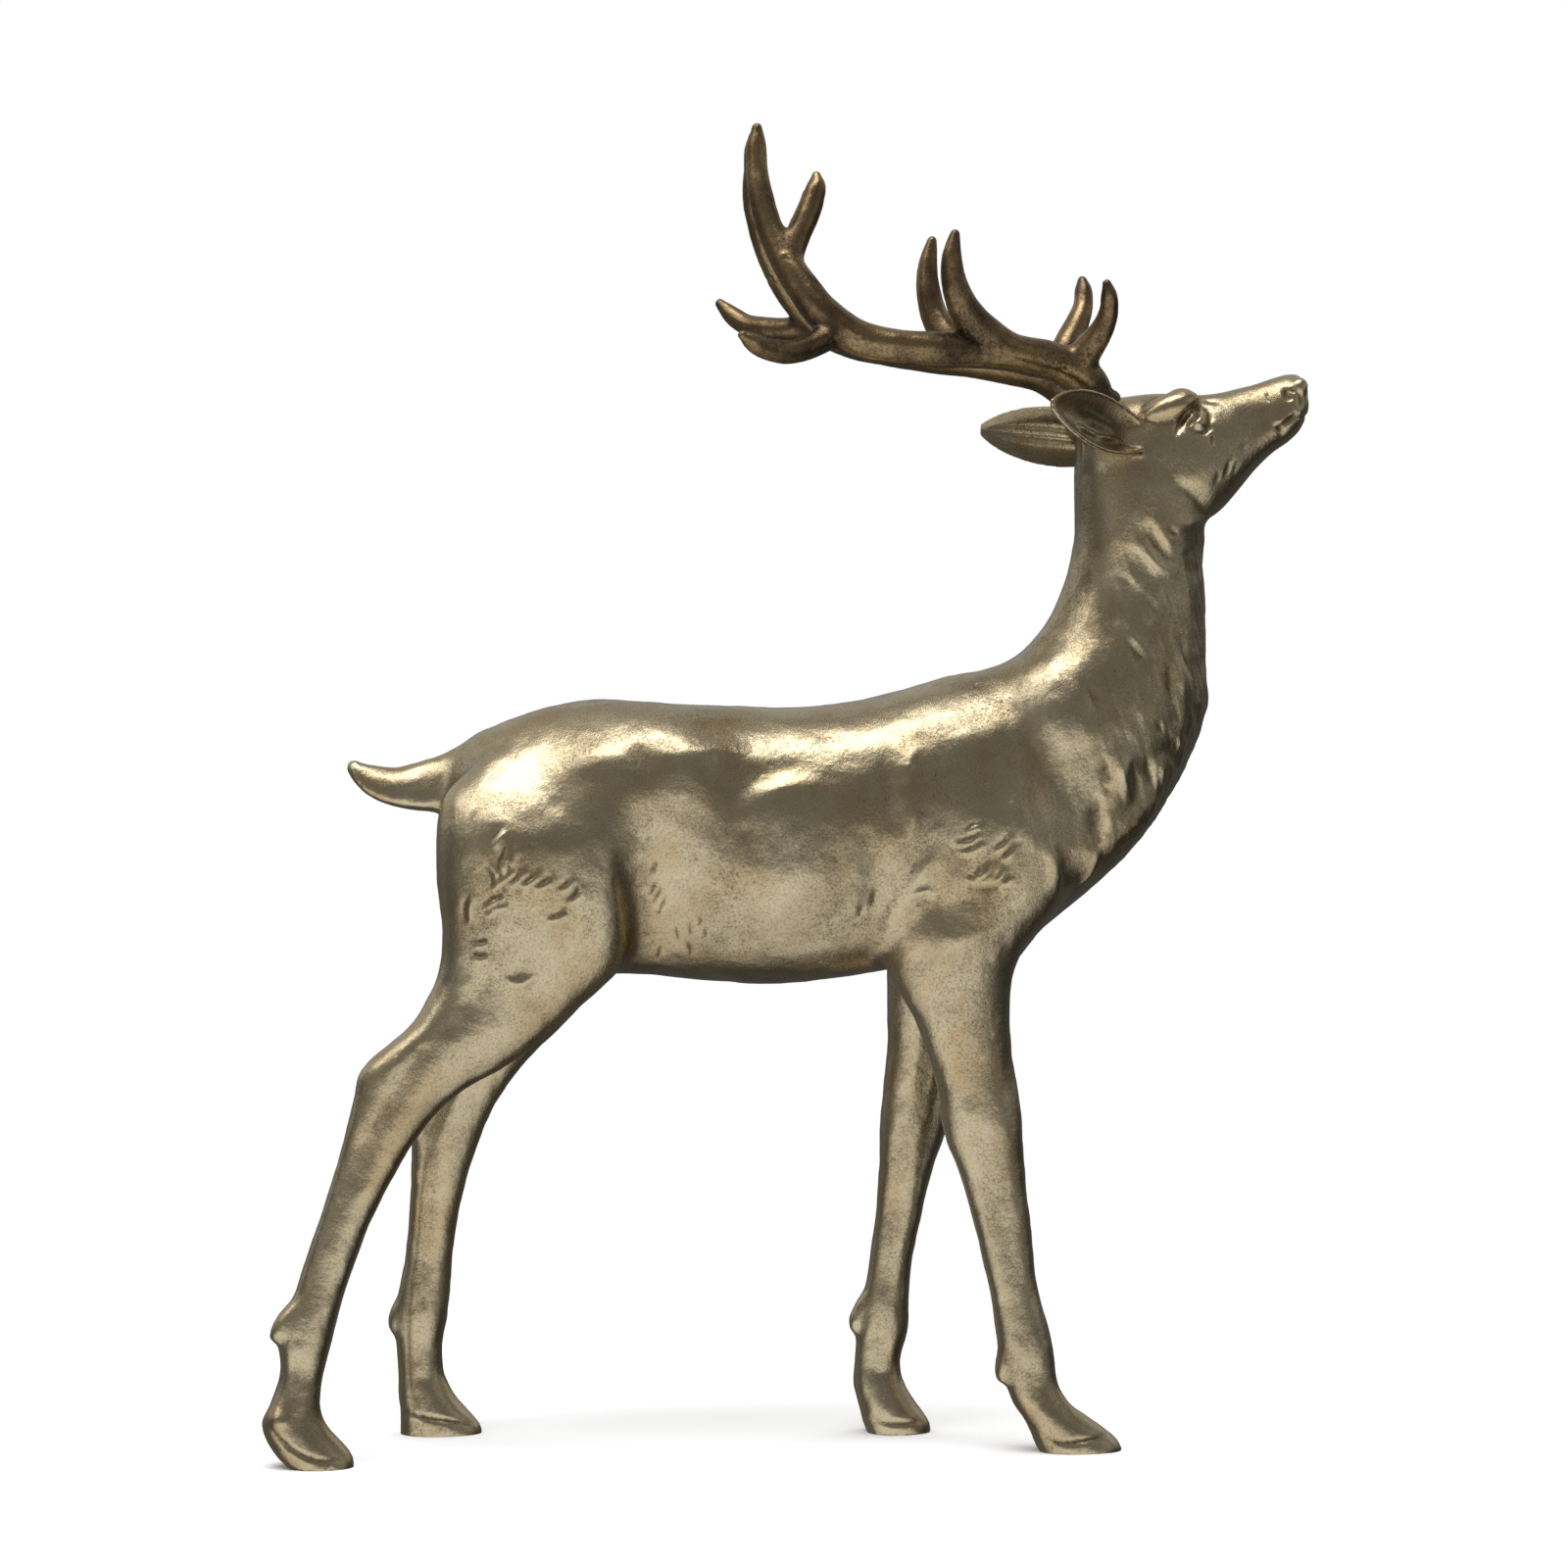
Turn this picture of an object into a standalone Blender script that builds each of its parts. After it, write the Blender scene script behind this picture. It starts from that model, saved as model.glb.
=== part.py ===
"""Standing stag figurine: one cast body with two antlers that plug into its skull.

The stag faces +X and stands on Z = 0, with the middle of its length and width at the origin.
The casting is free form, so its sections are drawn in units: the figure is UNITS_TALL of them
high, and one unit is a millimetre at the real size. Fits, pegs and tracks are in metres.
"""

import math

import bmesh
import bpy
import numpy as np
from mathutils import Matrix, Vector

# Driving sizes, in metres
FIGURE_HEIGHT = 0.449
FORE_TRACK = 0.041
HIND_TRACK = 0.060
PEG_DIAMETER = 0.0050
PEG_LENGTH = 0.0080
PEG_CLEARANCE = 0.0003
SEAT_GAP = 0.0003

# The drawing's own scale, and the point of it that becomes the origin
UNITS_TALL = 449.0
UNIT = FIGURE_HEIGHT / UNITS_TALL
MIDDLE_OF_LENGTH = 2.5
GROUND = 0.8

# How finely the solids are made
RING_SIDES = 40
BODY_GRAIN = 1.2 * UNIT
ANTLER_GRAIN = 0.8 * UNIT
BODY_TRIANGLES = 7000
ANTLER_TRIANGLES = 1180

# Upright sections of the trunk: place along X, lowest, highest, half width
TRUNK = [
    (-115, 178, 226, 12), (-109, 168, 238, 20), (-98, 164, 245, 27), (-82, 162, 251, 31),
    (-66, 160.6, 254, 33), (-48, 160.4, 253, 34), (-20, 157.8, 251.6, 36), (6, 157.4, 251.6, 37),
    (27, 160.4, 254, 36), (41, 162.6, 257.5, 35), (54, 164.6, 261.6, 33.5), (68, 165, 264, 32),
    (81, 170, 269, 30), (95, 181.4, 276, 28), (109, 193, 279, 25), (122, 206.4, 278, 21),
    (134, 225, 272, 14), (142, 243, 264, 6),
]
# Level sections of the neck: height, rearmost, foremost, half width
NECK = [
    (172, 70, 84, 14), (188, 62, 100.5, 21), (202, 59, 117.4, 24), (215, 57, 128, 26),
    (228, 57, 136.6, 27), (242, 59, 142.5, 27), (252, 63, 145.8, 26), (262, 70, 145.4, 24.5),
    (272, 83.4, 145.2, 23), (282, 91, 145, 21.2), (292, 95.5, 144.6, 19.6), (302, 98.4, 143.8, 18.2),
    (312, 99.8, 144.6, 17.2), (322, 99.8, 145.6, 16.6), (333, 99.8, 143.5, 16), (343, 101, 138, 15),
    (352, 106, 130, 11),
]
# Upright sections of the head: place along X, lowest, highest, half width
HEAD = [
    (101, 328, 346, 9), (105, 322, 352, 13), (111, 318.5, 356, 15.5), (120, 316, 358, 16.5),
    (129, 314.6, 358.8, 16.6), (137, 314, 358.6, 16), (145, 315.2, 358.6, 14.6),
    (150.5, 319, 359.4, 13), (156, 325.4, 360.8, 11.4), (162, 332.6, 362.3, 10.2),
    (169, 339.3, 364.6, 9.6), (174, 342.8, 365.8, 9.4), (178, 347, 365, 8.2), (180.4, 352, 361, 5),
]
# Upright sections of the tail: place along X, lowest, highest, half width
TAIL = [
    (-147.6, 229.6, 231.8, 1), (-146, 226.6, 233, 2.6), (-142.5, 222.6, 232, 4), (-137.5, 219.4, 231, 5),
    (-132, 217.6, 230.6, 5.6), (-125, 216.4, 232.2, 6.2), (-118, 215.4, 234.6, 7), (-108, 211, 240, 9),
]
# Level sections of the legs: height, rearmost, foremost, half width
HIND_RIGHT = [
    (240, -106, -58, 11), (225, -115.6, -52, 16), (209, -117.5, -50.5, 17.5), (192, -117.3, -50.8, 17.2),
    (176, -115.6, -52.5, 16), (163, -117, -57, 14.2), (150, -122.6, -70.8, 12), (143.5, -127.6, -78, 10.6),
    (137.5, -135, -85.6, 9.4), (132, -141.2, -94, 8.5), (121, -144.6, -112, 7.4), (108.6, -147.6, -123, 6.6),
    (98.9, -150.2, -129.3, 6.1), (86, -154.4, -136.1, 5.8), (60.3, -163, -146.3, 5.8), (50, -167, -149.2, 6.6),
    (42, -168.8, -151.2, 6.9), (31, -168.4, -153.8, 6.3), (22, -171.7, -155, 7.2), (15.4, -174.8, -153.4, 8.2),
    (9, -172.8, -148.2, 9), (4, -169.6, -144.4, 9.4), (-3, -160.5, -144.4, 9),
]
HIND_LEFT = [
    (240, -106, -58, 11), (225, -116, -51.5, 16), (208, -117.5, -49.6, 17.5), (191, -117.2, -49.6, 17.2),
    (174, -115.5, -51.2, 16), (161, -116.6, -54, 14.2), (147, -121.3, -69.3, 12), (140, -125, -76.2, 10.6),
    (133, -128, -83.5, 9.4), (126, -128.6, -90, 8.5), (113, -127.6, -98.7, 7.4), (99, -126.8, -104.1, 6.3),
    (79, -127.4, -110, 5.8), (60, -129.4, -112.7, 5.8), (50, -131.4, -113.2, 6.6), (42, -132.6, -114, 6.9),
    (31, -132.2, -116, 6.3), (22, -131.4, -115.4, 7.2), (14, -131.4, -111.6, 8.2), (8, -131, -106.4, 9),
    (3, -130.8, -102.4, 9.4), (-3, -130.4, -102.4, 9),
]
FORE_RIGHT = [
    (242, 50, 80, 6), (225, 43, 96, 13), (208, 39.5, 100, 16), (192, 36, 97, 16.5),
    (176, 32.5, 86, 14.5), (168, 32.2, 79, 13), (162, 33.4, 76.5, 12), (156, 36.6, 75.4, 11),
    (149, 40.8, 75, 10), (136, 46, 75.5, 8.8), (123, 50, 77.2, 8.4), (110, 52, 79, 8.2),
    (103, 54, 79.2, 7.6), (96.5, 56.8, 79.5, 7), (83, 60.6, 80.8, 6.2), (57, 67.2, 84.1, 5.8),
    (44, 69.2, 87.1, 6.5), (34, 70.6, 89.6, 6.8), (22, 73.4, 91.9, 6.6), (17, 75.6, 95.2, 7.4),
    (10.5, 79.8, 103.4, 8.6), (5.5, 82, 110, 9), (2, 83.4, 112.8, 9.2), (-3, 87, 110.5, 8.8),
]
FORE_LEFT = [
    (242, 50, 80, 6), (225, 45, 99, 13), (208, 42.6, 103, 16), (191, 40.4, 101, 16.5),
    (174, 38, 91, 14.5), (160, 37, 80, 12.6), (147, 37.2, 74, 10.6), (133, 37.4, 67.4, 9.4),
    (120, 35.9, 62.8, 8.6), (106, 34.8, 58.4, 7.8), (92.5, 34.7, 53.6, 6.8), (79, 33.4, 50.1, 6.2),
    (60, 31.2, 46.4, 5.9), (46, 28.4, 45, 6.5), (36, 27, 44.8, 6.8), (25, 25.8, 42.2, 6.6),
    (18, 25.6, 43.6, 7.4), (11, 27.4, 47.6, 8.6), (4, 29, 52.4, 9.2), (-3, 31.5, 51.8, 8.8),
]
# Dewclaws behind each fetlock: place along X, height, half length
DEWCLAWS = {"hind_right": (-169.2, 42, 3.6), "hind_left": (-132.6, 38, 3.4),
            "fore_right": (71.8, 24, 3.4), "fore_left": (26.6, 38.5, 3.6)}

# Each ear: its root, its tip and the way that its cup faces. The left one is laid further back
EARS = {
    "right": ((122, -13, 342.2), (85, -45, 350.4), (0.55, -0.82, 0.22)),
    "left": ((120, 13, 343), (72.6, 41, 350), (0.45, 0.88, 0.12)),
}
EAR_WALL = 2.6
# Share of the ear's length, half width, depth of the cup
EAR_SECTIONS = [(0.0, 4.6, 3.6), (0.12, 6.6, 4.6), (0.3, 9.2, 5.4), (0.5, 10, 5.2),
                (0.7, 8.4, 4.2), (0.86, 5.4, 2.6), (0.96, 2.4, 1.2), (1.0, 1.3, 0.6)]

# Antlers, each as a beam and its tines: place along X, distance out from the middle, height, radius.
# The left one rises a little more than the right one, and its back tine turns up
ANTLERS = {
    "right": [
        [(105.5, 9.8, 353, 7.0), (102, 11.6, 361, 7.2), (92.5, 15, 366.9, 6.7), (81, 19, 369, 6.6),
         (67, 23, 370.3, 6.3), (50, 27, 370, 6.1), (34, 30, 370.7, 5.9), (21, 31, 373.4, 6.3),
         (11.3, 31, 380.6, 6.1), (3.6, 29, 390.5, 5.5), (-2, 26, 400.6, 5.2), (-6.6, 23, 411, 4.6),
         (-9.5, 21, 422, 4.1), (-10.7, 19, 431.7, 3.6), (-10.6, 18, 440, 3.1), (-10.4, 18, 446, 2.4)],
        [(97, 13, 366, 6.2), (102.2, 17, 372.6, 5.3), (106, 21, 378.6, 4.2), (107.6, 24, 385, 3.2),
         (107.1, 26, 390, 2.7), (106.2, 26.8, 393.8, 2.1)],
        [(73, 22.5, 370.5, 7.0), (65.5, 25.5, 375.5, 6.6), (60.3, 28, 380.4, 5.9), (56.1, 31, 386.6, 5.0), (53.9, 32, 393.6, 4.2),
         (53.4, 33, 400.4, 3.4), (54.6, 33, 409, 2.2)],
        [(14, 32, 375, 4.8), (6.2, 37, 369.6, 4.4), (-2.7, 43, 366.8, 4.0), (-10.2, 48, 367.6, 3.6),
         (-15.2, 51.4, 369.6, 2.9), (-18.6, 53, 371.6, 2.1)],
        [(-1, 26, 398, 4.8), (2.6, 25, 407, 4.4), (5.8, 24, 414, 4.1), (8, 23, 420.4, 3.6),
         (9.2, 22, 426, 2.8), (9.2, 21.5, 429.6, 2.0)],
    ],
    "left": [
        [(105.5, 9.8, 353, 7.0), (101.6, 11.6, 359.6, 7.4), (93, 15, 366.4, 7.0), (82, 19, 370, 6.8),
         (69, 23, 372.2, 6.4), (52, 27, 374.6, 6.2), (37.6, 30, 377, 5.9), (25, 31, 380, 6.0),
         (13.6, 31, 386.6, 6.0), (5, 29, 396.4, 5.8), (-1.2, 26, 407, 5.4), (-6, 23, 418, 4.8),
         (-8.6, 21, 428.7, 4.1), (-8.8, 19, 438.1, 3.6), (-9, 18, 444.6, 3.1), (-9, 18, 449.6, 2.4)],
        [(96.5, 14, 368, 6.0), (100, 17, 378, 5.0), (104, 21, 385.4, 4.3), (106.6, 24, 392.4, 3.4),
         (106.9, 26, 398.6, 2.7), (106.6, 26.8, 402, 2.1)],
        [(68, 24, 372, 6.2), (59.6, 27, 380.4, 5.4), (55.1, 30, 389, 4.7), (53.2, 31.5, 396.8, 4.2),
         (53, 32.6, 405, 3.6), (54.8, 33, 416.4, 2.2)],
        [(17, 31, 384, 4.9), (6.4, 36, 384.2, 4.5), (-2.4, 42, 385, 4.1), (-9.6, 47.6, 387.2, 3.7),
         (-15.2, 51.4, 391.6, 3.0), (-19.4, 53.4, 396, 2.2)],
        [(3, 26, 406, 4.9), (6, 25, 414.4, 4.5), (8.9, 24, 421.4, 4.2), (10.9, 23, 427, 3.7),
         (11.9, 22, 431.4, 2.9), (11.6, 21.5, 434, 2.0)],
    ],
}
# The antler's foot: the point of the skull where its burr sits, the way that it leaves, and the
# half length and half width of the flat that is cut for it
SEAT = (106.2, 10.0, 353.2)
SEAT_WAY = (-0.30, 0.20, 0.93)
SEAT_HALF_LENGTH = 11.6
SEAT_HALF_WIDTH = 8.4

# Muscles and hollows, seen from the side: place along X, height, half length, half height,
# the way that the length runs in degrees above +X, and how far it stands out
MUSCLES = [
    (-84, 226, 26, 13, 20, 2.2),
    (-62, 206, 8, 24, 12, 1.6),
    (-50, 190, 4.5, 26, 4, -3.4),
    (-56, 232, 14, 6, 8, -1.2),
    (-94, 196, 16, 22, 0, 1.2),
    (-30, 226, 8, 6, 40, 1.0),
    (-14, 222, 9, 4, 52, -1.0),
    (-2, 216, 12, 4.5, 52, 1.7),
    (16, 224, 14, 4, 12, 1.0),
    (12, 208, 14, 8, 10, -1.2),
    (38, 196, 5, 24, 14, -1.6),
    (45, 224, 3, 14, -10, 1.0),
    (50, 218, 3, 16, -10, -1.0),
    (72, 232, 14, 9, 20, 1.4),
    (84, 214, 8, 20, -28, -1.5),
    (66, 196, 15, 12, 0, 1.3),
    (44, 176, 9, 12, 30, 1.4),
    (96, 256, 18, 8, 60, 1.6),
    (112, 226, 5, 22, -14, 1.4),
    (104, 214, 3, 22, -18, -1.8),
    (126, 232, 4, 18, -12, 1.2),
    (118, 300, 4, 16, -38, -0.9),
    (128, 324, 10, 5, 12, 1.0),
    (134, 330, 8, 3, 14, -0.8),
]
# Grooves that run down the legs between bone and sinew: which legs, then as above
LEG_GROOVES = [
    ("hind_right", -128, 122, 3.2, 20, -46, -1.6),
    ("hind_right", -148, 84, 2.2, 34, -19, -0.9),
    ("hind_left", -116, 116, 3, 20, -24, -1.4),
    ("hind_left", -121, 76, 2.2, 30, -4, -0.9),
    ("fore_right", 74, 130, 3, 22, 3, -0.8),
    ("fore_right", 68, 84, 2.4, 26, 14, -0.7),
    ("fore_left", 50, 130, 3, 22, -10, -0.8),
    ("fore_left", 40, 84, 2.4, 26, -8, -0.7),
]


def place(x, y, z):
    """A point of the drawing, in metres from the figure's origin."""
    return Vector((x - MIDDLE_OF_LENGTH, y, z - GROUND)) * UNIT


def flow(rows, count):
    """The rows, read as one smooth run over their first column, at count even steps."""
    rows = np.array(rows, float)
    if rows[0, 0] > rows[-1, 0]:
        rows = rows[::-1]
    knots = rows[:, 0]
    slopes = np.gradient(rows, knots, axis=0)
    at = np.linspace(knots[0], knots[-1], count)
    i = np.clip(np.searchsorted(knots, at, side="right") - 1, 0, len(knots) - 2)
    span = (knots[i + 1] - knots[i])[:, None]
    s = (at - knots[i])[:, None] / span
    return (
        (1 + 2 * s) * (1 - s) ** 2 * rows[i]
        + s * (1 - s) ** 2 * span * slopes[i]
        + s**2 * (3 - 2 * s) * rows[i + 1]
        - s**2 * (1 - s) * span * slopes[i + 1]
    )


def swollen(value, square):
    """A sine or cosine pushed outwards: square 2 leaves a circle, and more makes it boxier."""
    return math.copysign(abs(value) ** (2.0 / square), value)


def skin(bm, rings):
    """Joins each ring of vertices to the next."""
    for first, second in zip(rings, rings[1:]):
        edges = {e for v in first for e in v.link_edges if e.other_vert(v) in first}
        edges |= {e for v in second for e in v.link_edges if e.other_vert(v) in second}
        bmesh.ops.bridge_loops(bm, edges=list(edges))


def unit_ring(bm, capped):
    return bmesh.ops.create_circle(bm, cap_ends=capped, segments=RING_SIDES, radius=1.0)["verts"]


def stack(bm, rows, upright, count, out=None, widest=0.5, square=2.1):
    """A solid through sections stacked along X (upright) or along Z (level).

    out gives how far to the side a section's middle is, for its place along the stack.
    """
    rings = []
    samples = flow(rows, count)
    for k, (at, low, high, half_width) in enumerate(samples):
        ring = unit_ring(bm, k in (0, len(samples) - 1))
        middle = low + widest * (high - low)
        side = out(at) if out else 0.0
        for v in ring:
            across, along = swollen(v.co.x, square), swollen(v.co.y, square)
            reach = (high - middle) if along > 0 else (middle - low)
            length_or_height = middle + along * reach
            y = side + half_width * across
            v.co = place(at, y, length_or_height) if upright else place(length_or_height, y, at)
        rings.append(set(ring))
    skin(bm, rings)


def tube(bm, points, count, side):
    """A tapering round rod through points of (x, out, height, radius), for side -1 right or +1 left."""
    path = np.array(points, float)
    path[:, 1] *= side
    lengths = np.concatenate([[0], np.cumsum(np.linalg.norm(np.diff(path[:, :3], axis=0), axis=1))])
    samples = flow(np.column_stack([lengths, path]), count)[:, 1:]
    ways = np.gradient(samples[:, :3], axis=0)
    rings = []
    for k, ((x, y, z, radius), way) in enumerate(zip(samples, ways)):
        turn = Vector(way).to_track_quat("Z", "Y").to_matrix().to_4x4()
        ring = unit_ring(bm, k in (0, len(samples) - 1))
        at = Matrix.Translation(place(x, y, z)) @ turn @ Matrix.Scale(radius * UNIT, 4)
        bmesh.ops.transform(bm, matrix=at, verts=ring)
        rings.append(set(ring))
    skin(bm, rings)


def egg(bm, x, y, z, half_length, half_width, half_height, pitch=0.0):
    """A solid egg, tilted by pitch degrees about the Y axis."""
    turn = Matrix.Rotation(math.radians(pitch), 4, "Y")
    size = Matrix.Diagonal((half_length * UNIT, half_width * UNIT, half_height * UNIT, 1.0))
    at = Matrix.Translation(place(x, y, z)) @ turn @ size
    bmesh.ops.create_icosphere(bm, subdivisions=3, radius=1.0, matrix=at)


def ear(bm, side):
    """A cupped leaf: sections bent round the ear's axis, open on the side that it faces."""
    root, tip, faces = (Vector(v) for v in EARS[side])
    axis = (tip - root).normalized()
    faces = (faces - axis * faces.dot(axis)).normalized()
    across = axis.cross(faces)
    rings = []
    samples = flow(EAR_SECTIONS, 26)
    for k, (share, half_width, depth) in enumerate(samples):
        ring = unit_ring(bm, k in (0, len(samples) - 1))
        centre = root + (tip - root) * share
        wall = min(EAR_WALL, half_width)
        for v in ring:
            u, s = v.co.x, v.co.y
            cup = -depth * math.sqrt(max(0.0, 1 - u * u))
            out = cup + 0.5 * wall * s
            v.co = place(*(centre + across * (half_width * u) + faces * out))
        rings.append(set(ring))
    skin(bm, rings)


def out_to(hoof_out, top, inward):
    """How far out a leg is at each height: hip and shoulder are closer in than the hoof."""
    return lambda height: hoof_out * (1 - inward * (max(height, 0.0) / top) ** 2)


def legs():
    """Each leg's name, sections and the function of its place to the side, in units."""
    fore, hind = FORE_TRACK / 2 / UNIT, HIND_TRACK / 2 / UNIT
    return [
        ("hind_right", HIND_RIGHT, out_to(-hind, 240, 0.4)),
        ("hind_left", HIND_LEFT, out_to(hind, 240, 0.4)),
        ("fore_right", FORE_RIGHT, out_to(-fore, 242, 0.2)),
        ("fore_left", FORE_LEFT, out_to(fore, 242, 0.2)),
    ]


def rough_body(bm):
    """Every mass of the body as a closed solid of its own, overlapping its neighbours."""
    stack(bm, TRUNK, True, 60, widest=0.46, square=2.2)
    stack(bm, NECK, False, 44, widest=0.45, square=2.1)
    stack(bm, HEAD, True, 44, widest=0.6, square=2.15)
    stack(bm, TAIL, True, 24)
    for name, rows, out in legs():
        stack(bm, rows, False, 90, out=out, widest=0.45, square=2.15)
        x, height, size = DEWCLAWS[name]
        for spread in (-0.32, 0.32):
            egg(bm, x, out(height) + spread * 12, height, size, size * 0.75, size * 1.1)
    for word in EARS:
        ear(bm, word)
    for side in (-1, 1):
        # Brow ridge, eyeball and cheek
        egg(bm, 133, side * 10.4, 353.6, 8, 4.8, 5.6, -8)
        egg(bm, 140, side * 12.0, 348.2, 4, 3.4, 3.2)
        egg(bm, 132, side * 11.2, 333, 11, 4.6, 9, 18)
        # Nostril wing and lip
        egg(bm, 175.5, side * 5.6, 359.5, 3.6, 3.2, 4.6, 20)
        # Pedicle under the antler
        egg(bm, 107, side * 9.4, 349, 9, 8, 8)


def new_object(name, bm, collection):
    mesh = bpy.data.meshes.new(name)
    bm.to_mesh(mesh)
    bm.free()
    obj = bpy.data.objects.new(name, mesh)
    collection.objects.link(obj)
    return obj


def settled(obj):
    """Replaces the object's mesh by what its modifiers make of it."""
    graph = bpy.context.evaluated_depsgraph_get()
    mesh = bpy.data.meshes.new_from_object(obj.evaluated_get(graph))
    old = obj.data
    obj.modifiers.clear()
    obj.data = mesh
    bpy.data.meshes.remove(old)
    mesh.name = obj.name


def fused(obj, grain, passes):
    """Melts overlapping solids into one skin, and softens the joints between them."""
    remesh = obj.modifiers.new("one_skin", "REMESH")
    remesh.mode = "VOXEL"
    remesh.voxel_size = grain
    smooth = obj.modifiers.new("softened", "SMOOTH")
    smooth.factor = 0.5
    smooth.iterations = passes
    settled(obj)


def thinned(obj, triangles):
    """Brings the skin down to about that many triangles, most of them where it bends."""
    obj.data.calc_loop_triangles()
    decimate = obj.modifiers.new("fewer_faces", "DECIMATE")
    decimate.ratio = triangles / len(obj.data.loop_triangles)
    decimate.use_collapse_triangulate = True
    settled(obj)


def bell(across, along, x, z, half_length, half_height, angle):
    """1 in the middle of a tilted oval of the side view, falling to 0 at its rim."""
    turn = math.radians(angle)
    u = (across - x) * math.cos(turn) + (along - z) * math.sin(turn)
    v = -(across - x) * math.sin(turn) + (along - z) * math.cos(turn)
    inside = np.clip(1 - (u / half_length) ** 2 - (v / half_height) ** 2, 0, 1)
    return inside**2 * (3 - 2 * inside)


def carve(obj):
    """Moves the skin out over muscles and in over hollows, on both flanks alike."""
    mesh = obj.data
    points = np.empty(len(mesh.vertices) * 3)
    mesh.vertices.foreach_get("co", points)
    points = points.reshape(-1, 3)
    normals = np.empty(len(mesh.vertices) * 3)
    mesh.vertex_normals.foreach_get("vector", normals)
    normals = normals.reshape(-1, 3)
    x = points[:, 0] / UNIT + MIDDLE_OF_LENGTH
    y = points[:, 1] / UNIT
    z = points[:, 2] / UNIT + GROUND
    sideways = np.clip(np.abs(normals[:, 1]) * 1.6, 0, 1)
    push = np.zeros(len(points))
    for cx, cz, half_length, half_height, angle, height in MUSCLES:
        reach = 1.35
        push += height * bell(x, z, cx, cz, half_length * reach, half_height * reach, angle)
    outs = {name: out for name, rows, out in legs()}
    for name, cx, cz, half_length, half_height, angle, height in LEG_GROOVES:
        near = np.abs(y - outs[name](cz)) < 14
        push += near * height * bell(x, z, cx, cz, half_length, half_height, angle)
    points += normals * (push * sideways * UNIT)[:, None]
    mesh.vertices.foreach_set("co", points.ravel())
    mesh.update()


def seat_frame(side):
    """The matrix of the antler's foot: Z is the way that the antler leaves, and Y points left."""
    way = Vector(SEAT_WAY).normalized()
    way.y *= side
    fore = Vector((0, 1, 0)).cross(way).normalized()
    axes = Matrix((fore, way.cross(fore), way)).transposed()
    x, y, z = SEAT
    return Matrix.Translation(place(x, side * y, z)) @ axes.to_4x4()


def rod(name, frame, half_length, half_width, low, high, collection, sides=28):
    """A round or oval bar along the frame's Z axis, from low to high."""
    bm = bmesh.new()
    oval = Matrix.Diagonal((half_length, half_width, 1.0, 1.0))
    at = frame @ Matrix.Translation((0, 0, (low + high) / 2)) @ oval
    bmesh.ops.create_cone(bm, cap_ends=True, segments=sides, radius1=1.0, radius2=1.0,
                          depth=high - low, matrix=at)
    return new_object(name, bm, collection)


def block(name, low, high, collection):
    """A box between two corners."""
    bm = bmesh.new()
    size = Vector(high) - Vector(low)
    at = Matrix.Translation((Vector(low) + Vector(high)) / 2) @ Matrix.Diagonal((*size, 1.0))
    bmesh.ops.create_cube(bm, size=1.0, matrix=at)
    return new_object(name, bm, collection)


def boolean(obj, cutter, operation):
    step = obj.modifiers.new(cutter.name, "BOOLEAN")
    step.operation = operation
    step.object = cutter


def helper(obj):
    obj.hide_render = True
    obj.display_type = "WIRE"
    return obj


def metal(name, colour, roughness):
    material = bpy.data.materials.new(name)
    material.use_nodes = True
    shader = material.node_tree.nodes["Principled BSDF"]
    shader.inputs["Base Color"].default_value = (*colour, 1.0)
    shader.inputs["Metallic"].default_value = 1.0
    shader.inputs["Roughness"].default_value = roughness
    return material


def make_deer(parts, cutters):
    bm = bmesh.new()
    rough_body(bm)
    deer = new_object("deer", bm, parts)
    fused(deer, BODY_GRAIN, 7)
    carve(deer)
    thinned(deer, BODY_TRIANGLES)
    reach = FIGURE_HEIGHT
    ground = block("ground", (-reach, -reach, -reach / 10), (reach, reach, 0), cutters)
    boolean(deer, helper(ground), "DIFFERENCE")
    for side, word in ((-1, "right"), (1, "left")):
        frame = seat_frame(side)
        seat = rod(f"seat_{word}", frame, SEAT_HALF_LENGTH * UNIT, SEAT_HALF_WIDTH * UNIT,
                   -SEAT_GAP, 12 * UNIT, cutters, 40)
        bore = PEG_DIAMETER / 2 + PEG_CLEARANCE
        bottom = -PEG_LENGTH - PEG_CLEARANCE
        socket = rod(f"socket_{word}", frame, bore, bore, bottom, UNIT, cutters)
        boolean(deer, helper(seat), "DIFFERENCE")
        boolean(deer, helper(socket), "DIFFERENCE")
    return deer


def make_antler(word, side, parts, cutters):
    bm = bmesh.new()
    beam, *tines = ANTLERS[word]
    tube(bm, beam, 90, side)
    for tine in tines:
        tube(bm, tine, 30, side)
    # The burr that spreads onto the skull
    egg(bm, 104.8, side * 10.0, 354.2, 9.4, 7.2, 4.8, -16)
    frame = seat_frame(side)
    antler = new_object(f"antler_{word}", bm, parts)
    fused(antler, ANTLER_GRAIN, 3)
    thinned(antler, ANTLER_TRIANGLES)
    below = rod(f"below_{word}", frame, 30 * UNIT, 30 * UNIT, -30 * UNIT, 0, cutters)
    peg_radius = PEG_DIAMETER / 2
    peg = rod(f"peg_{word}", frame, peg_radius, peg_radius, -PEG_LENGTH, 3 * UNIT, cutters)
    boolean(antler, helper(below), "DIFFERENCE")
    boolean(antler, helper(peg), "UNION")
    return antler


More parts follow.
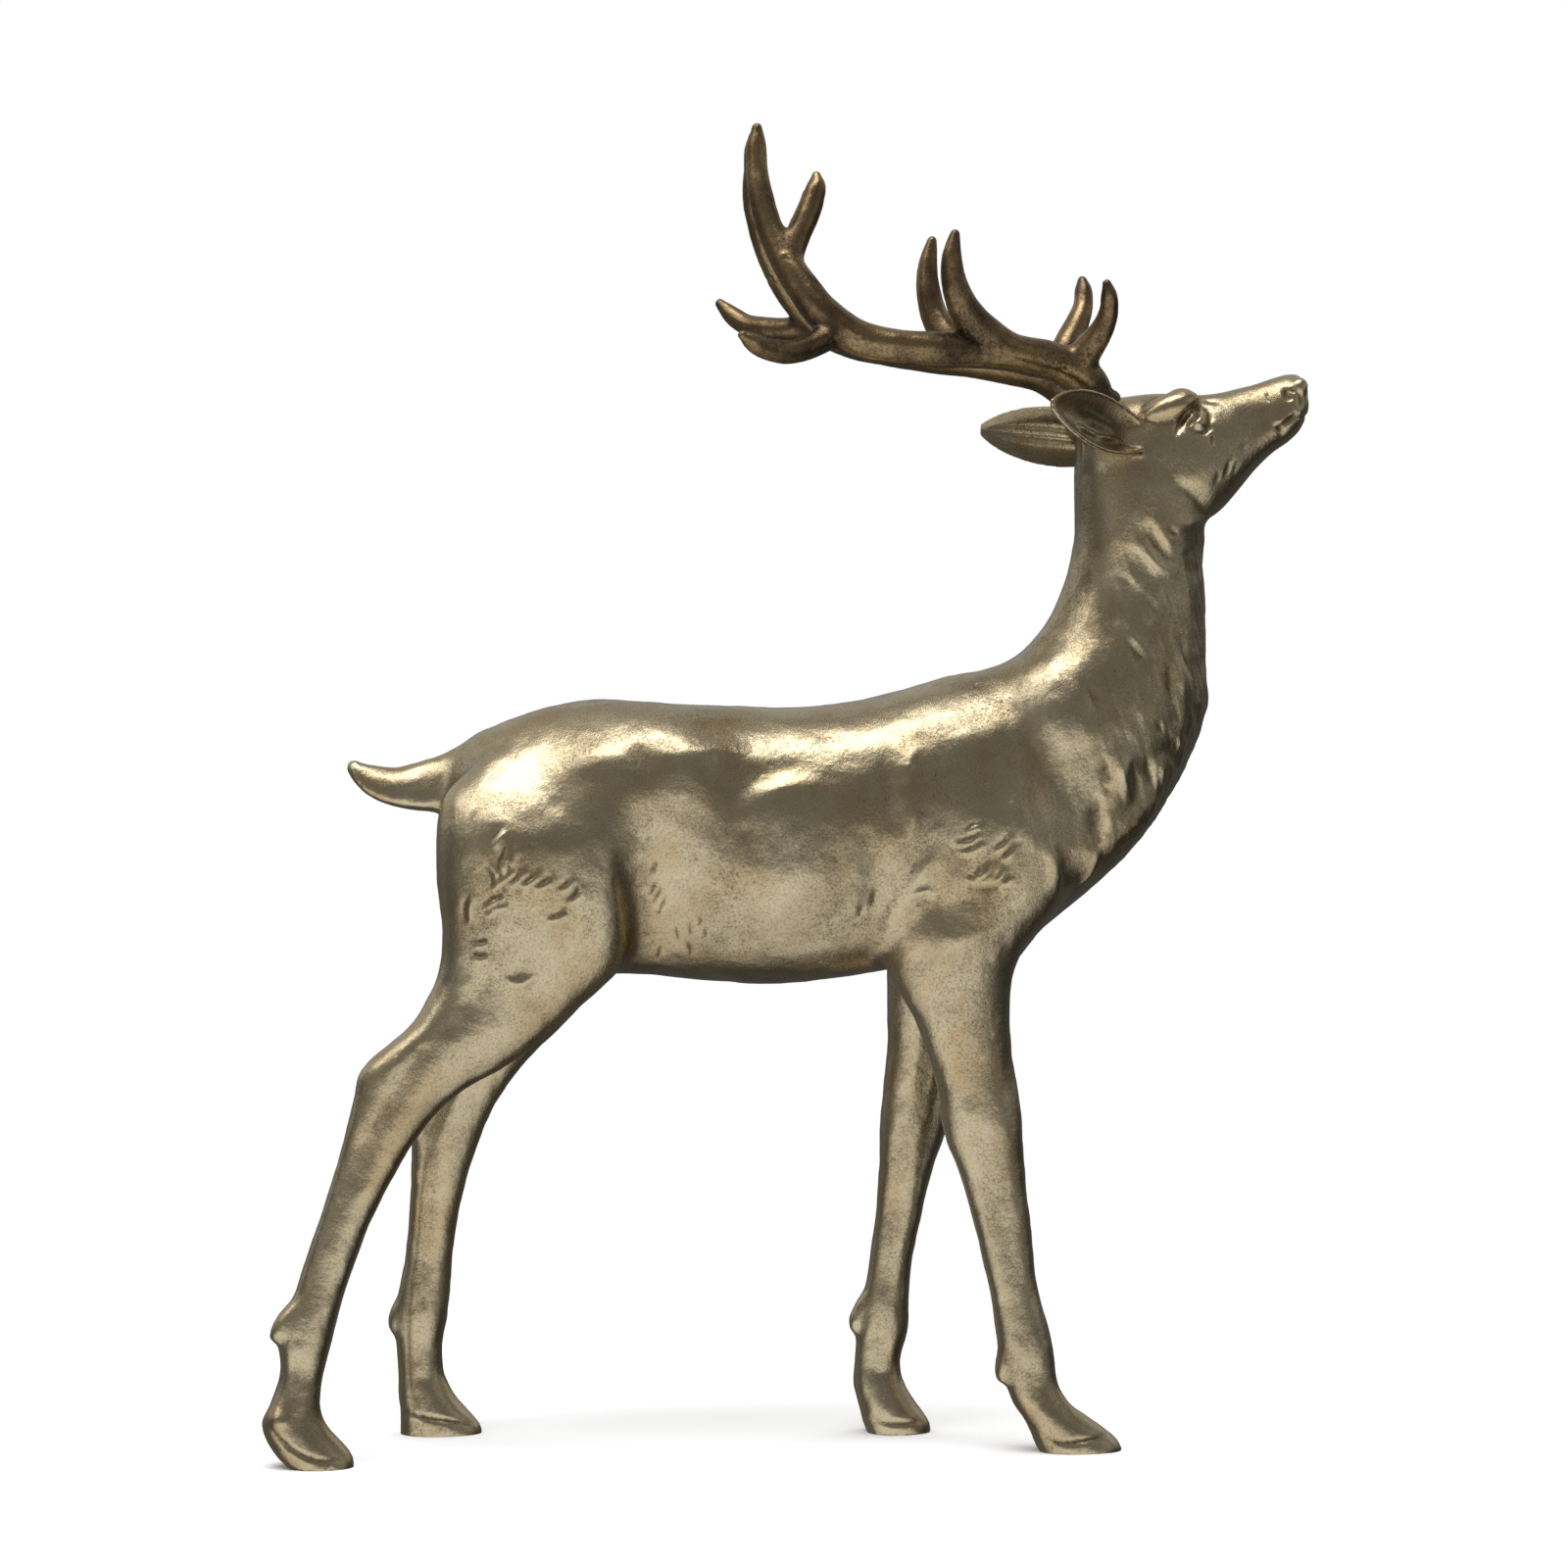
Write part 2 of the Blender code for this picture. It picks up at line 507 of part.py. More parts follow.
def main():
    for obj in list(bpy.data.objects):
        bpy.data.objects.remove(obj)
    parts = bpy.data.collections.new("stag_figurine")
    cutters = bpy.data.collections.new("cutters")
    bpy.context.scene.collection.children.link(parts)
    bpy.context.scene.collection.children.link(cutters)
    champagne = metal("antique_champagne", (0.55, 0.49, 0.37), 0.32)
    bronze = metal("antique_bronze", (0.30, 0.21, 0.12), 0.34)
    deer = make_deer(parts, cutters)
    deer.data.materials.append(champagne)
    for word, side in (("right", -1), ("left", 1)):
        antler = make_antler(word, side, parts, cutters)
        antler.data.materials.append(bronze)
    for obj in parts.objects:
        obj.data.shade_smooth()


main()
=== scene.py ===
# %% [markdown]
# # A cast stag in antiqued metal
#
# The real object is a shelf figurine: a standing stag in one pale metallic casting, with two
# darker bronze antlers plugged into its skull. The solid model gives its outline and its size.
# This lesson dresses it. The same masses are melted together again much finer, and then carved
# with the muscles, folds, locks of hair and pits that can be seen from a step away.

# %% Load the solid model
import math

import bmesh
import bpy
import numpy as np
from mathutils import Matrix, Vector, noise


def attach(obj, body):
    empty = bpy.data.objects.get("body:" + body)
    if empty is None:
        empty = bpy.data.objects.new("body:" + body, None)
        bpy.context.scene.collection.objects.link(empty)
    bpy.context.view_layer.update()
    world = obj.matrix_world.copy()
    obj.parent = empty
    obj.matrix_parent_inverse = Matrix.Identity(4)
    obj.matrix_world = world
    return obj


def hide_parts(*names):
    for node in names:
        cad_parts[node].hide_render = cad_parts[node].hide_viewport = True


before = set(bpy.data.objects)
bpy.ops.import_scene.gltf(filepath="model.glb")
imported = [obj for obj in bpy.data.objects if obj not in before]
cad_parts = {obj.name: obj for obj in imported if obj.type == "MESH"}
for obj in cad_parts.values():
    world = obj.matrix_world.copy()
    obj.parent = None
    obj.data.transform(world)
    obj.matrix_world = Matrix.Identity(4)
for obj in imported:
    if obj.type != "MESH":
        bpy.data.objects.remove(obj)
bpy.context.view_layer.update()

# Height in metres, and the drawing's unit, a millimetre at this height
TALL = 0.449
UNIT = TALL / 449.0
# Place in the drawing that becomes the origin: the middle of its length, on the ground
MIDDLE_OF_LENGTH = 2.5
GROUND = 0.8
SIDES = {"right": -1, "left": 1}

# %% [markdown]
# ## The camera
#
# The photograph was taken level, from the height of the stag's flank and a little behind its
# side. The steps between its near and far hooves give the distance, 1.25 m. The lens is an
# 84 mm one on a full-frame sensor. Carved details are placed by reading their spot in the
# photograph, so one function turns such a spot back into a place on the figure.

# %% Camera and the way back from a spot in the photo
# Pixels along a side of the photo and to a slope of one, distance and height in drawing units
PHOTO_SIDE = 1600
DISTANCE = 1250.0
PIXELS_AT_ONE = 3750.0
EYE_HEIGHT = 225.0
TURN = math.radians(4.5)


def seen(px, py, out):
    """Place along X and height, in the drawing's units, of a photo spot that is out to the side."""
    slope = (px - PHOTO_SIDE / 2) / PIXELS_AT_ONE
    sine, cosine = math.sin(TURN), math.cos(TURN)
    x = (slope * (DISTANCE + cosine * out) + sine * out) / (cosine - sine * slope)
    depth = DISTANCE + sine * x + cosine * out
    return x, EYE_HEIGHT + (PHOTO_SIDE / 2 - py) / PIXELS_AT_ONE * depth


def place(x, y, z):
    """A point of the drawing, in metres from the figure's origin."""
    return Vector((x - MIDDLE_OF_LENGTH, y, z - GROUND)) * UNIT


camera_data = bpy.data.cameras.new("camera")
camera_data.sensor_width = 36.0
camera_data.lens = PIXELS_AT_ONE * camera_data.sensor_width / PHOTO_SIDE
camera = bpy.data.objects.new("camera", camera_data)
bpy.context.scene.collection.objects.link(camera)
camera.location = place(-DISTANCE * math.sin(TURN), -DISTANCE * math.cos(TURN), EYE_HEIGHT)
camera.rotation_euler = (math.radians(90), 0, -TURN)
bpy.context.scene.camera = camera
print("lens:", round(camera_data.lens, 1), "mm, turned", round(math.degrees(TURN), 1), "degrees")

# %% [markdown]
# ## The drawing
#
# Every mass of the body is drawn as a few sections, and a smooth run through them makes the
# form. A trunk, a head and a tail are read in upright sections along X, a neck and legs in
# level sections up Z. The solid model uses the same drawing but for some widths of neck and
# head, and for how high trunk and head are widest, so the dressed figure keeps its form. Free
# sculpting would be looser, and a subdivided box would need many more points for the same
# outline.

# %% Sections of the trunk, neck, head and tail
# Trunk and head: place along X, lowest, highest, half width, share of the height at the widest,
# squareness. The tail has no last two.
TRUNK = [
    (-115, 178, 226, 12, 0.46, 2.0), (-109, 168, 238, 21, 0.45, 2.0), (-98, 164, 245, 30, 0.43, 1.95),
    (-82, 162, 251, 36, 0.42, 1.9), (-66, 160.6, 254, 36.5, 0.5, 1.95), (-48, 160.4, 253, 35, 0.68, 2.2),
    (-34, 159, 252, 35.5, 0.67, 2.2), (-20, 157.8, 251.6, 36, 0.5, 2.2), (6, 157.4, 251.6, 37, 0.46, 2.2),
    (27, 160.4, 254, 36, 0.5, 2.2), (41, 162.6, 257.5, 35, 0.5, 2.2), (54, 164.6, 261.6, 34, 0.48, 2.1),
    (68, 165, 264, 32.5, 0.42, 2.1), (81, 170, 269, 30, 0.34, 2.1), (95, 181.4, 276, 28, 0.24, 2.1),
    (109, 193, 279, 25, 0.18, 2.1), (122, 206.4, 278, 21, 0.16, 2.1), (134, 225, 272, 14, 0.3, 2.1),
    (142, 243, 264, 6, 0.46, 2.2),
]
# Height, rearmost, foremost, half width
NECK = [
    (172, 70, 84, 14), (188, 62, 100.5, 22.5), (202, 59, 117.4, 26), (215, 57, 128, 27.6),
    (228, 57, 136.6, 27.8), (242, 59, 142.5, 27.4), (252, 63, 145.8, 26.4), (262, 70, 145.4, 24.6),
    (272, 83.4, 145.2, 21.8), (282, 91, 145, 19.4), (292, 95.5, 144.6, 18.1), (302, 98.4, 143.8, 18.2),
    (312, 99.8, 144.6, 18.7), (322, 99.8, 145.6, 18.4), (333, 99.8, 143.5, 17), (343, 101, 138, 15),
    (352, 106, 130, 11),
]
HEAD = [
    (101, 328, 346, 9, 0.5, 2.15), (105, 322, 352, 13, 0.44, 2.15), (111, 318.5, 356, 15.5, 0.4, 2.15),
    (120, 316, 358, 16.5, 0.4, 2.15), (129, 314.6, 358.8, 16.6, 0.4, 2.15),
    (137, 314, 358.6, 16, 0.41, 2.1), (145, 315.2, 358.6, 14.6, 0.42, 2.0),
    (150.5, 319, 359.4, 13, 0.43, 2.0), (156, 325.4, 360.8, 11.4, 0.39, 2.0),
    (162, 332.6, 362.3, 10.2, 0.36, 2.0),
    (169, 339.3, 364.6, 9.4, 0.36, 2.0), (174, 342.8, 365.8, 9.0, 0.38, 2.0),
    (178, 347, 365, 7.4, 0.42, 2.0), (180.4, 352, 361, 4.2, 0.5, 2.0),
]
TAIL = [
    (-147.6, 229.6, 231.8, 1), (-146, 226.6, 233, 3), (-142.5, 222.6, 232, 5), (-137.5, 219.4, 231, 6.4),
    (-132, 217.6, 230.6, 7.2), (-125, 216.4, 232.2, 8), (-118, 215.4, 234.6, 9), (-108, 211, 240, 11),
]

# %% Sections of the legs, from the hip or shoulder down to the sole
# Height, rearmost, foremost, half width
HIND_RIGHT = [
    (236, -100, -62, 5), (222, -114.5, -53, 13), (209, -117.5, -50.5, 17.5), (192, -117.3, -50.8, 16.6),
    (176, -115.6, -52.5, 14.8), (163, -117, -57, 13), (150, -122.6, -70.8, 11.4), (143.5, -127.6, -78, 10.6),
    (137.5, -135, -85.6, 9.4), (132, -141.2, -94, 8.5), (121, -144.6, -112, 7.4),
    (108.6, -147.6, -123, 6.6),
    (98.9, -150.2, -129.3, 6.1), (86, -154.4, -136.1, 5.8), (60.3, -163, -146.3, 5.8),
    (50, -167, -149.2, 6.6), (42, -168.8, -151.2, 6.9), (31, -168.4, -153.8, 6.3), (22, -171.7, -155, 7.2),
    (15.4, -174.8, -153.4, 8.2), (9, -172.8, -148.2, 9), (4, -169.6, -144.4, 9.4), (-3, -160.5, -144.4, 9),
]
HIND_LEFT = [
    (236, -100, -62, 5), (222, -115, -53, 13), (208, -117.5, -49.6, 17.5), (191, -117.2, -49.6, 16.6),
    (174, -115.5, -51.2, 14.8), (161, -116.6, -54, 13), (147, -121.3, -69.3, 12), (140, -125, -76.2, 10.6),
    (133, -128, -83.5, 9.4), (126, -128.6, -90, 8.5), (113, -127.6, -98.7, 7.4), (99, -126.8, -104.1, 6.3),
    (79, -127.4, -110, 5.8), (60, -129.4, -112.7, 5.8), (50, -131.4, -113.2, 6.6), (42, -132.6, -114, 6.9),
    (31, -132.2, -116, 6.3), (22, -131.4, -115.4, 7.2), (14, -131.4, -111.6, 8.2), (8, -131, -106.4, 9),
    (3, -130.8, -102.4, 9.4), (-3, -130.4, -102.4, 9),
]
FORE_RIGHT = [
    (242, 50, 80, 6), (225, 43, 96, 13), (208, 39.5, 100, 16), (192, 36, 97, 16.5),
    (176, 32.5, 86, 14.5), (168, 32.2, 79, 13), (162, 33.4, 76.5, 12), (156, 36.6, 75.4, 11),
    (149, 40.8, 75, 10), (136, 46, 75.5, 8.8), (123, 50, 77.2, 8.4), (110, 52, 79, 8.2),
    (103, 54, 79.2, 7.6), (96.5, 56.8, 79.5, 7), (83, 60.6, 80.8, 6.2), (57, 67.2, 84.1, 5.8),
    (44, 69.2, 87.1, 6.5), (34, 70.6, 89.6, 6.8), (22, 73.4, 91.9, 6.6), (17, 75.6, 95.2, 7.4),
    (10.5, 79.8, 103.4, 8.6), (5.5, 82, 110, 9), (2, 83.4, 112.8, 9.2), (-3, 87, 110.5, 8.8),
]
FORE_LEFT = [
    (242, 50, 80, 6), (225, 45, 99, 13), (208, 42.6, 103, 16), (191, 40.4, 101, 16.5),
    (174, 38, 91, 14.5), (160, 37, 80, 12.6), (147, 37.2, 74, 10.6), (133, 37.4, 67.4, 9.4),
    (120, 35.9, 62.8, 8.6), (106, 34.8, 58.4, 7.8), (92.5, 34.7, 53.6, 6.8), (79, 33.4, 50.1, 6.2),
    (60, 31.2, 46.4, 5.9), (46, 28.4, 45, 6.5), (36, 27, 44.8, 6.8), (25, 25.8, 42.2, 6.6),
    (18, 25.6, 43.6, 7.4), (11, 27.4, 47.6, 8.6), (4, 29, 52.4, 9.2), (-3, 31.5, 51.8, 8.8),
]
# Sections, the hoof's distance from the middle, and the height of hip or shoulder with the share
# by which it is closer in
LEGS = {
    "hind_right": (HIND_RIGHT, -30.0, 236, 0.4), "hind_left": (HIND_LEFT, 30.0, 236, 0.4),
    "fore_right": (FORE_RIGHT, -20.5, 242, 0.2), "fore_left": (FORE_LEFT, 20.5, 242, 0.2),
}
# Dewclaws behind each fetlock: photo spots from the leg to the tip, with the half thickness
DEWCLAWS = {
    "hind_right": [(303, 1326, 2.6), (291, 1345, 3.6), (281, 1362, 3.2), (277, 1369, 2.0)],
    "hind_left": [(412, 1322, 2.4), (404, 1339, 3.2), (401, 1352, 3.0), (404, 1362, 2.0)],
    "fore_right": [(1024, 1368, 2.2), (1021, 1388, 2.8), (1020, 1403, 2.8), (1021, 1411, 1.8)],
    "fore_left": [(881, 1322, 2.0), (873, 1340, 2.6), (869, 1351, 2.6), (872, 1360, 1.6)],
}
# Photo spot of the heel of each hoof
HEELS = {
    "hind_right": (290, 1448), "hind_left": (428, 1441),
    "fore_right": (1078, 1450), "fore_left": (900, 1440),
}

# %% [markdown]
# ## From sections to skin
#
# A section starts as a circle, and its points are moved to the section's width and height.
# Neighbouring rings are joined by a bridge, and the first and the last are capped. An antler
# is a chain of such rings along a path. The masses overlap, and a voxel remesh melts them into
# one skin. Booleans would join them too, but would leave hard seams where the real casting
# has none.

# %% Rings, stacks and tubes
RING_SIDES = 48


def flow(rows, count):
    """The rows, read as one smooth run over their first column, at count even steps."""
    rows = np.array(rows, float)
    if rows[0, 0] > rows[-1, 0]:
        rows = rows[::-1]
    knots = rows[:, 0]
    slopes = np.gradient(rows, knots, axis=0)
    at = np.linspace(knots[0], knots[-1], count)
    i = np.clip(np.searchsorted(knots, at, side="right") - 1, 0, len(knots) - 2)
    span = (knots[i + 1] - knots[i])[:, None]
    s = (at - knots[i])[:, None] / span
    return (
        (1 + 2 * s) * (1 - s) ** 2 * rows[i]
        + s * (1 - s) ** 2 * span * slopes[i]
        + s**2 * (3 - 2 * s) * rows[i + 1]
        - s**2 * (1 - s) * span * slopes[i + 1]
    )


def swollen(value, square):
    """A sine or cosine pushed outwards: square 2 leaves a circle, and more makes it boxier."""
    return math.copysign(abs(value) ** (2.0 / square), value)


def skin(bm, rings):
    """Joins each ring of vertices to the next."""
    for first, second in zip(rings, rings[1:]):
        edges = {e for v in first for e in v.link_edges if e.other_vert(v) in first}
        edges |= {e for v in second for e in v.link_edges if e.other_vert(v) in second}
        bmesh.ops.bridge_loops(bm, edges=list(edges))


def unit_ring(bm, capped):
    return bmesh.ops.create_circle(bm, cap_ends=capped, segments=RING_SIDES, radius=1.0)["verts"]


def stack(bm, rows, upright, count, out=None, widest=0.5, square=2.1):
    """A solid through sections stacked along X (upright) or Z; rows may hold the last two values."""
    rings = []
    samples = flow(rows, count)
    for k, (at, low, high, half_width, *own) in enumerate(samples):
        ring = unit_ring(bm, k in (0, len(samples) - 1))
        if own:
            widest, square = own
        middle = low + widest * (high - low)
        side = out(at) if out else 0.0
        for v in ring:
            across, along = swollen(v.co.x, square), swollen(v.co.y, square)
            reach = (high - middle) if along > 0 else (middle - low)
            length_or_height = middle + along * reach
            y = side + half_width * across
            v.co = place(at, y, length_or_height) if upright else place(length_or_height, y, at)
        rings.append(set(ring))
    skin(bm, rings)


def tube(bm, points, count, side):
    """A tapering round rod through points of (x, out, height, radius), for side -1 right or +1 left."""
    path = np.array(points, float)
    path[:, 1] *= side
    lengths = np.concatenate([[0], np.cumsum(np.linalg.norm(np.diff(path[:, :3], axis=0), axis=1))])
    samples = flow(np.column_stack([lengths, path]), count)[:, 1:]
    ways = np.gradient(samples[:, :3], axis=0)
    rings = []
    for k, ((x, y, z, radius), way) in enumerate(zip(samples, ways)):
        turn = Vector(way).to_track_quat("Z", "Y").to_matrix().to_4x4()
        ring = unit_ring(bm, k in (0, len(samples) - 1))
        at = Matrix.Translation(place(x, y, z)) @ turn @ Matrix.Scale(radius * UNIT, 4)
        bmesh.ops.transform(bm, matrix=at, verts=ring)
        rings.append(set(ring))
    skin(bm, rings)


def egg(bm, x, y, z, half_length, half_width, half_height, pitch):
    """A solid egg, tilted by pitch degrees about the Y axis."""
    turn = Matrix.Rotation(math.radians(pitch), 4, "Y")
    size = Matrix.Diagonal((half_length * UNIT, half_width * UNIT, half_height * UNIT, 1.0))
    bmesh.ops.create_icosphere(bm, subdivisions=4, radius=1.0,
                               matrix=Matrix.Translation(place(x, y, z)) @ turn @ size)


# %% [markdown]
# ## Ears
#
# The near ear is turned out to the camera, so its cup shows with a thin raised rim and folds
# of skin inside. The far ear lies further back and shows its outside, with two long grooves.
# Each is a leaf of bent sections: a thick curved sheet, open to the side that it faces, with a
# thin rolled rim run round its edge. A flat sheet with a Solidify modifier could be bent the
# same way, but its edge would be square, and here the rim is what catches the light.

# %% Ears
# Root, tip and the way that the cup faces
EARS = {
    "right": ((122, -13, 342.2), (85, -45, 350.4), (0.55, -0.82, 0.22)),
    "left": ((120, 13, 343), (72.6, 41, 350), (0.45, 0.88, 0.12)),
}
EAR_WALL = 2.2
# Share of the ear's length, half width, depth of the cup
EAR_SECTIONS = [(0.0, 4.4, 3.6), (0.12, 6.4, 5.2), (0.3, 9.0, 6.4), (0.5, 9.8, 6.2),
                (0.7, 8.4, 5.0), (0.86, 5.6, 3.2), (0.96, 2.6, 1.4), (1.0, 1.0, 0.6)]
EAR_RIM = 1.15


def ear_axes(word):
    """The ear's root, its length vector, the way across it and the way that it faces."""
    root, tip, faces = (Vector(v) for v in EARS[word])
    axis = (tip - root).normalized()
    faces = (faces - axis * faces.dot(axis)).normalized()
    return root, tip - root, axis.cross(faces), faces


def ear(bm, word):
    root, reach, across, faces = ear_axes(word)
    rings = []
    rims = ([], [])
    samples = flow(EAR_SECTIONS, 40)
    for k, (share, half_width, depth) in enumerate(samples):
        ring = unit_ring(bm, k in (0, len(samples) - 1))
        centre = root + reach * share
        wall = min(EAR_WALL, half_width)
        for rim, u in zip(rims, (-1, 1)):
            rim.append((*(centre + across * half_width * u), EAR_RIM))
        for v in ring:
            u, s = v.co.x, v.co.y
            cup = -depth * (1 - u * u)
            thick = 0.5 * wall * swollen(s, 5)
            v.co = place(*(centre + across * (half_width * u) + faces * (cup + thick)))
        rings.append(set(ring))
    skin(bm, rings)
    for rim in rims:
        tube(bm, rim[::3], 60, 1)


# %% Melting the masses into one skin
def out_to(hoof_out, top, inward):
    """How far out a leg is at each height."""
    return lambda height: hoof_out * (1 - inward * (max(height, 0.0) / top) ** 2)


def new_piece(name, bm):
    mesh = bpy.data.meshes.new(name)
    bm.to_mesh(mesh)
    bm.free()
    obj = bpy.data.objects.new(name, mesh)
    bpy.context.scene.collection.objects.link(obj)
    return obj


def settled(obj):
    """Replaces the object's mesh by what its modifiers make of it."""
    graph = bpy.context.evaluated_depsgraph_get()
    mesh = bpy.data.meshes.new_from_object(obj.evaluated_get(graph))
    old = obj.data
    obj.modifiers.clear()
    obj.data = mesh
    bpy.data.meshes.remove(old)
    mesh.name = obj.name


def fused(obj, grain, passes):
    """Makes one skin of the overlapping masses, and smooths it all over."""
    remesh = obj.modifiers.new("one_skin", "REMESH")
    remesh.mode = "VOXEL"
    remesh.voxel_size = grain
    smooth = obj.modifiers.new("softened", "SMOOTH")
    smooth.factor = 0.5
    smooth.iterations = passes
    settled(obj)


# %% Averaging over neighbours
def rows_of(layer, key):
    """A mesh layer as rows of three numbers."""
    values = np.empty(len(layer) * 3)
    layer.foreach_get(key, values)
    return values.reshape(-1, 3)


def neighbours(mesh):
    """The two ends of every edge, and how many edges meet at each point."""
    ends = np.empty(len(mesh.edges) * 2, int)
    mesh.edges.foreach_get("vertices", ends)
    first, second = ends.reshape(-1, 2).T
    count = len(mesh.vertices)
    links = np.bincount(first, minlength=count) + np.bincount(second, minlength=count)
    return first, second, np.maximum(links, 1)[:, None]


def averaged(values, first, second, links):
    """Each point's value replaced by the mean of its neighbours."""
    total = np.empty_like(values)
    for axis in range(values.shape[1]):
        total[:, axis] = (np.bincount(first, values[second, axis], len(values))
                          + np.bincount(second, values[first, axis], len(values)))
    return total / links


def eased(value, start, end):
    """0 at start, 1 at end, with a soft change between."""
    share = np.clip((value - start) / (end - start), 0, 1)
    return share * share * (3 - 2 * share)


def melted(obj, amount_at, rounds):
    """Softens the skin, by an amount that depends on the place in the drawing."""
    mesh = obj.data
    points = rows_of(mesh.vertices, "co")
    amount = amount_at(points[:, 0] / UNIT + MIDDLE_OF_LENGTH, points[:, 1] / UNIT,
                       points[:, 2] / UNIT + GROUND)
    around = neighbours(mesh)
    for _ in range(rounds):
        points += amount[:, None] * (averaged(points, *around) - points)
    mesh.vertices.foreach_set("co", points.ravel())
    mesh.update()


# %% The masses of the body
def body_softness(x, y, z):
    """Much at the meetings of trunk, neck and legs, a little at fetlocks and ears, none elsewhere."""
    joints = 0.5 * eased(z, 125, 158) * eased(z, 322, 300) * eased(x, -122, -112)
    ears = 0.05 * eased(np.abs(y), 15, 19) * eased(z, 325, 330)
    return np.maximum(joints, np.maximum(ears, 0.14 * eased(z, 16, 24) * eased(z, 68, 56)))


# On each side of the face: place, half length, width and height, and tilt
FACE_EGGS = [
    (130.6, 10.6, 352.6, 11.0, 5.6, 5.2, -22),  # ridge of the brow
    (134.6, 9.6, 355.2, 5.6, 5.2, 4.6, -10),  # brow over the eye
    (140.4, 11.2, 347.6, 3.4, 3.2, 3.2, 0),  # eyeball
    (131, 11.0, 334, 13, 4.8, 10, 18),  # cheek
    (176.4, 5.0, 360.2, 3.4, 3.0, 4.2, 20),  # wing of the nostril
    (107, 9.4, 349, 9, 8, 8, 0),  # skull under the antler
]
# Half length, width and height of a heel, its tilt, and how far apart the two are
HEEL_SIZE = (5.4, 5.0, 5.8, 24)
HEEL_SPREAD = 3.6


def body_masses(bm):
    stack(bm, TRUNK, True, 90)
    stack(bm, NECK, False, 60, widest=0.45, square=2.1)
    stack(bm, HEAD, True, 60)
    stack(bm, TAIL, True, 30, widest=0.1, square=1.8)
    for name, (rows, hoof, top, inward) in LEGS.items():
        out = out_to(hoof, top, inward)
        stack(bm, rows, False, 110, out=out, widest=0.45, square=2.15)
        side = math.copysign(1, hoof)
        claw = [(*seen(px, py, hoof), radius) for px, py, radius in DEWCLAWS[name]]
        tube(bm, [(x + 1.2, abs(hoof), z, radius) for x, z, radius in claw], 16, side)
        for spread in (-1.5, 1.5):
            tube(bm, [(x + 0.6, abs(hoof) + spread, z, radius * 0.85) for x, z, radius in claw], 16, side)
        heel_x, heel_z = seen(*HEELS[name], hoof)
        for spread in (-HEEL_SPREAD, HEEL_SPREAD):
            egg(bm, heel_x, hoof + spread, heel_z, *HEEL_SIZE)
    for word in EARS:
        ear(bm, word)
    for side in SIDES.values():
        for x, out, z, *size in FACE_EGGS:
            egg(bm, x, side * out, z, *size)


BODY_GRAIN = 0.7 * UNIT
BODY_MELTING = 90
bm = bmesh.new()
body_masses(bm)
deer = new_piece("stag_body", bm)
fused(deer, BODY_GRAIN, 10)
melted(deer, body_softness, BODY_MELTING)
print("body skin:", len(deer.data.vertices), "vertices")

# %% [markdown]
# ## Antlers
#
# Each antler is its own casting: a beam with brow, middle, back and forward tines. The two
# aren't mirror images. The left one rises a little more, and its back tine turns up. A Skin
# modifier on a few edges would branch more easily, but rings along a path keep every width that
# was read off the photograph. A remesh joins the tines, and the forks are softened further.

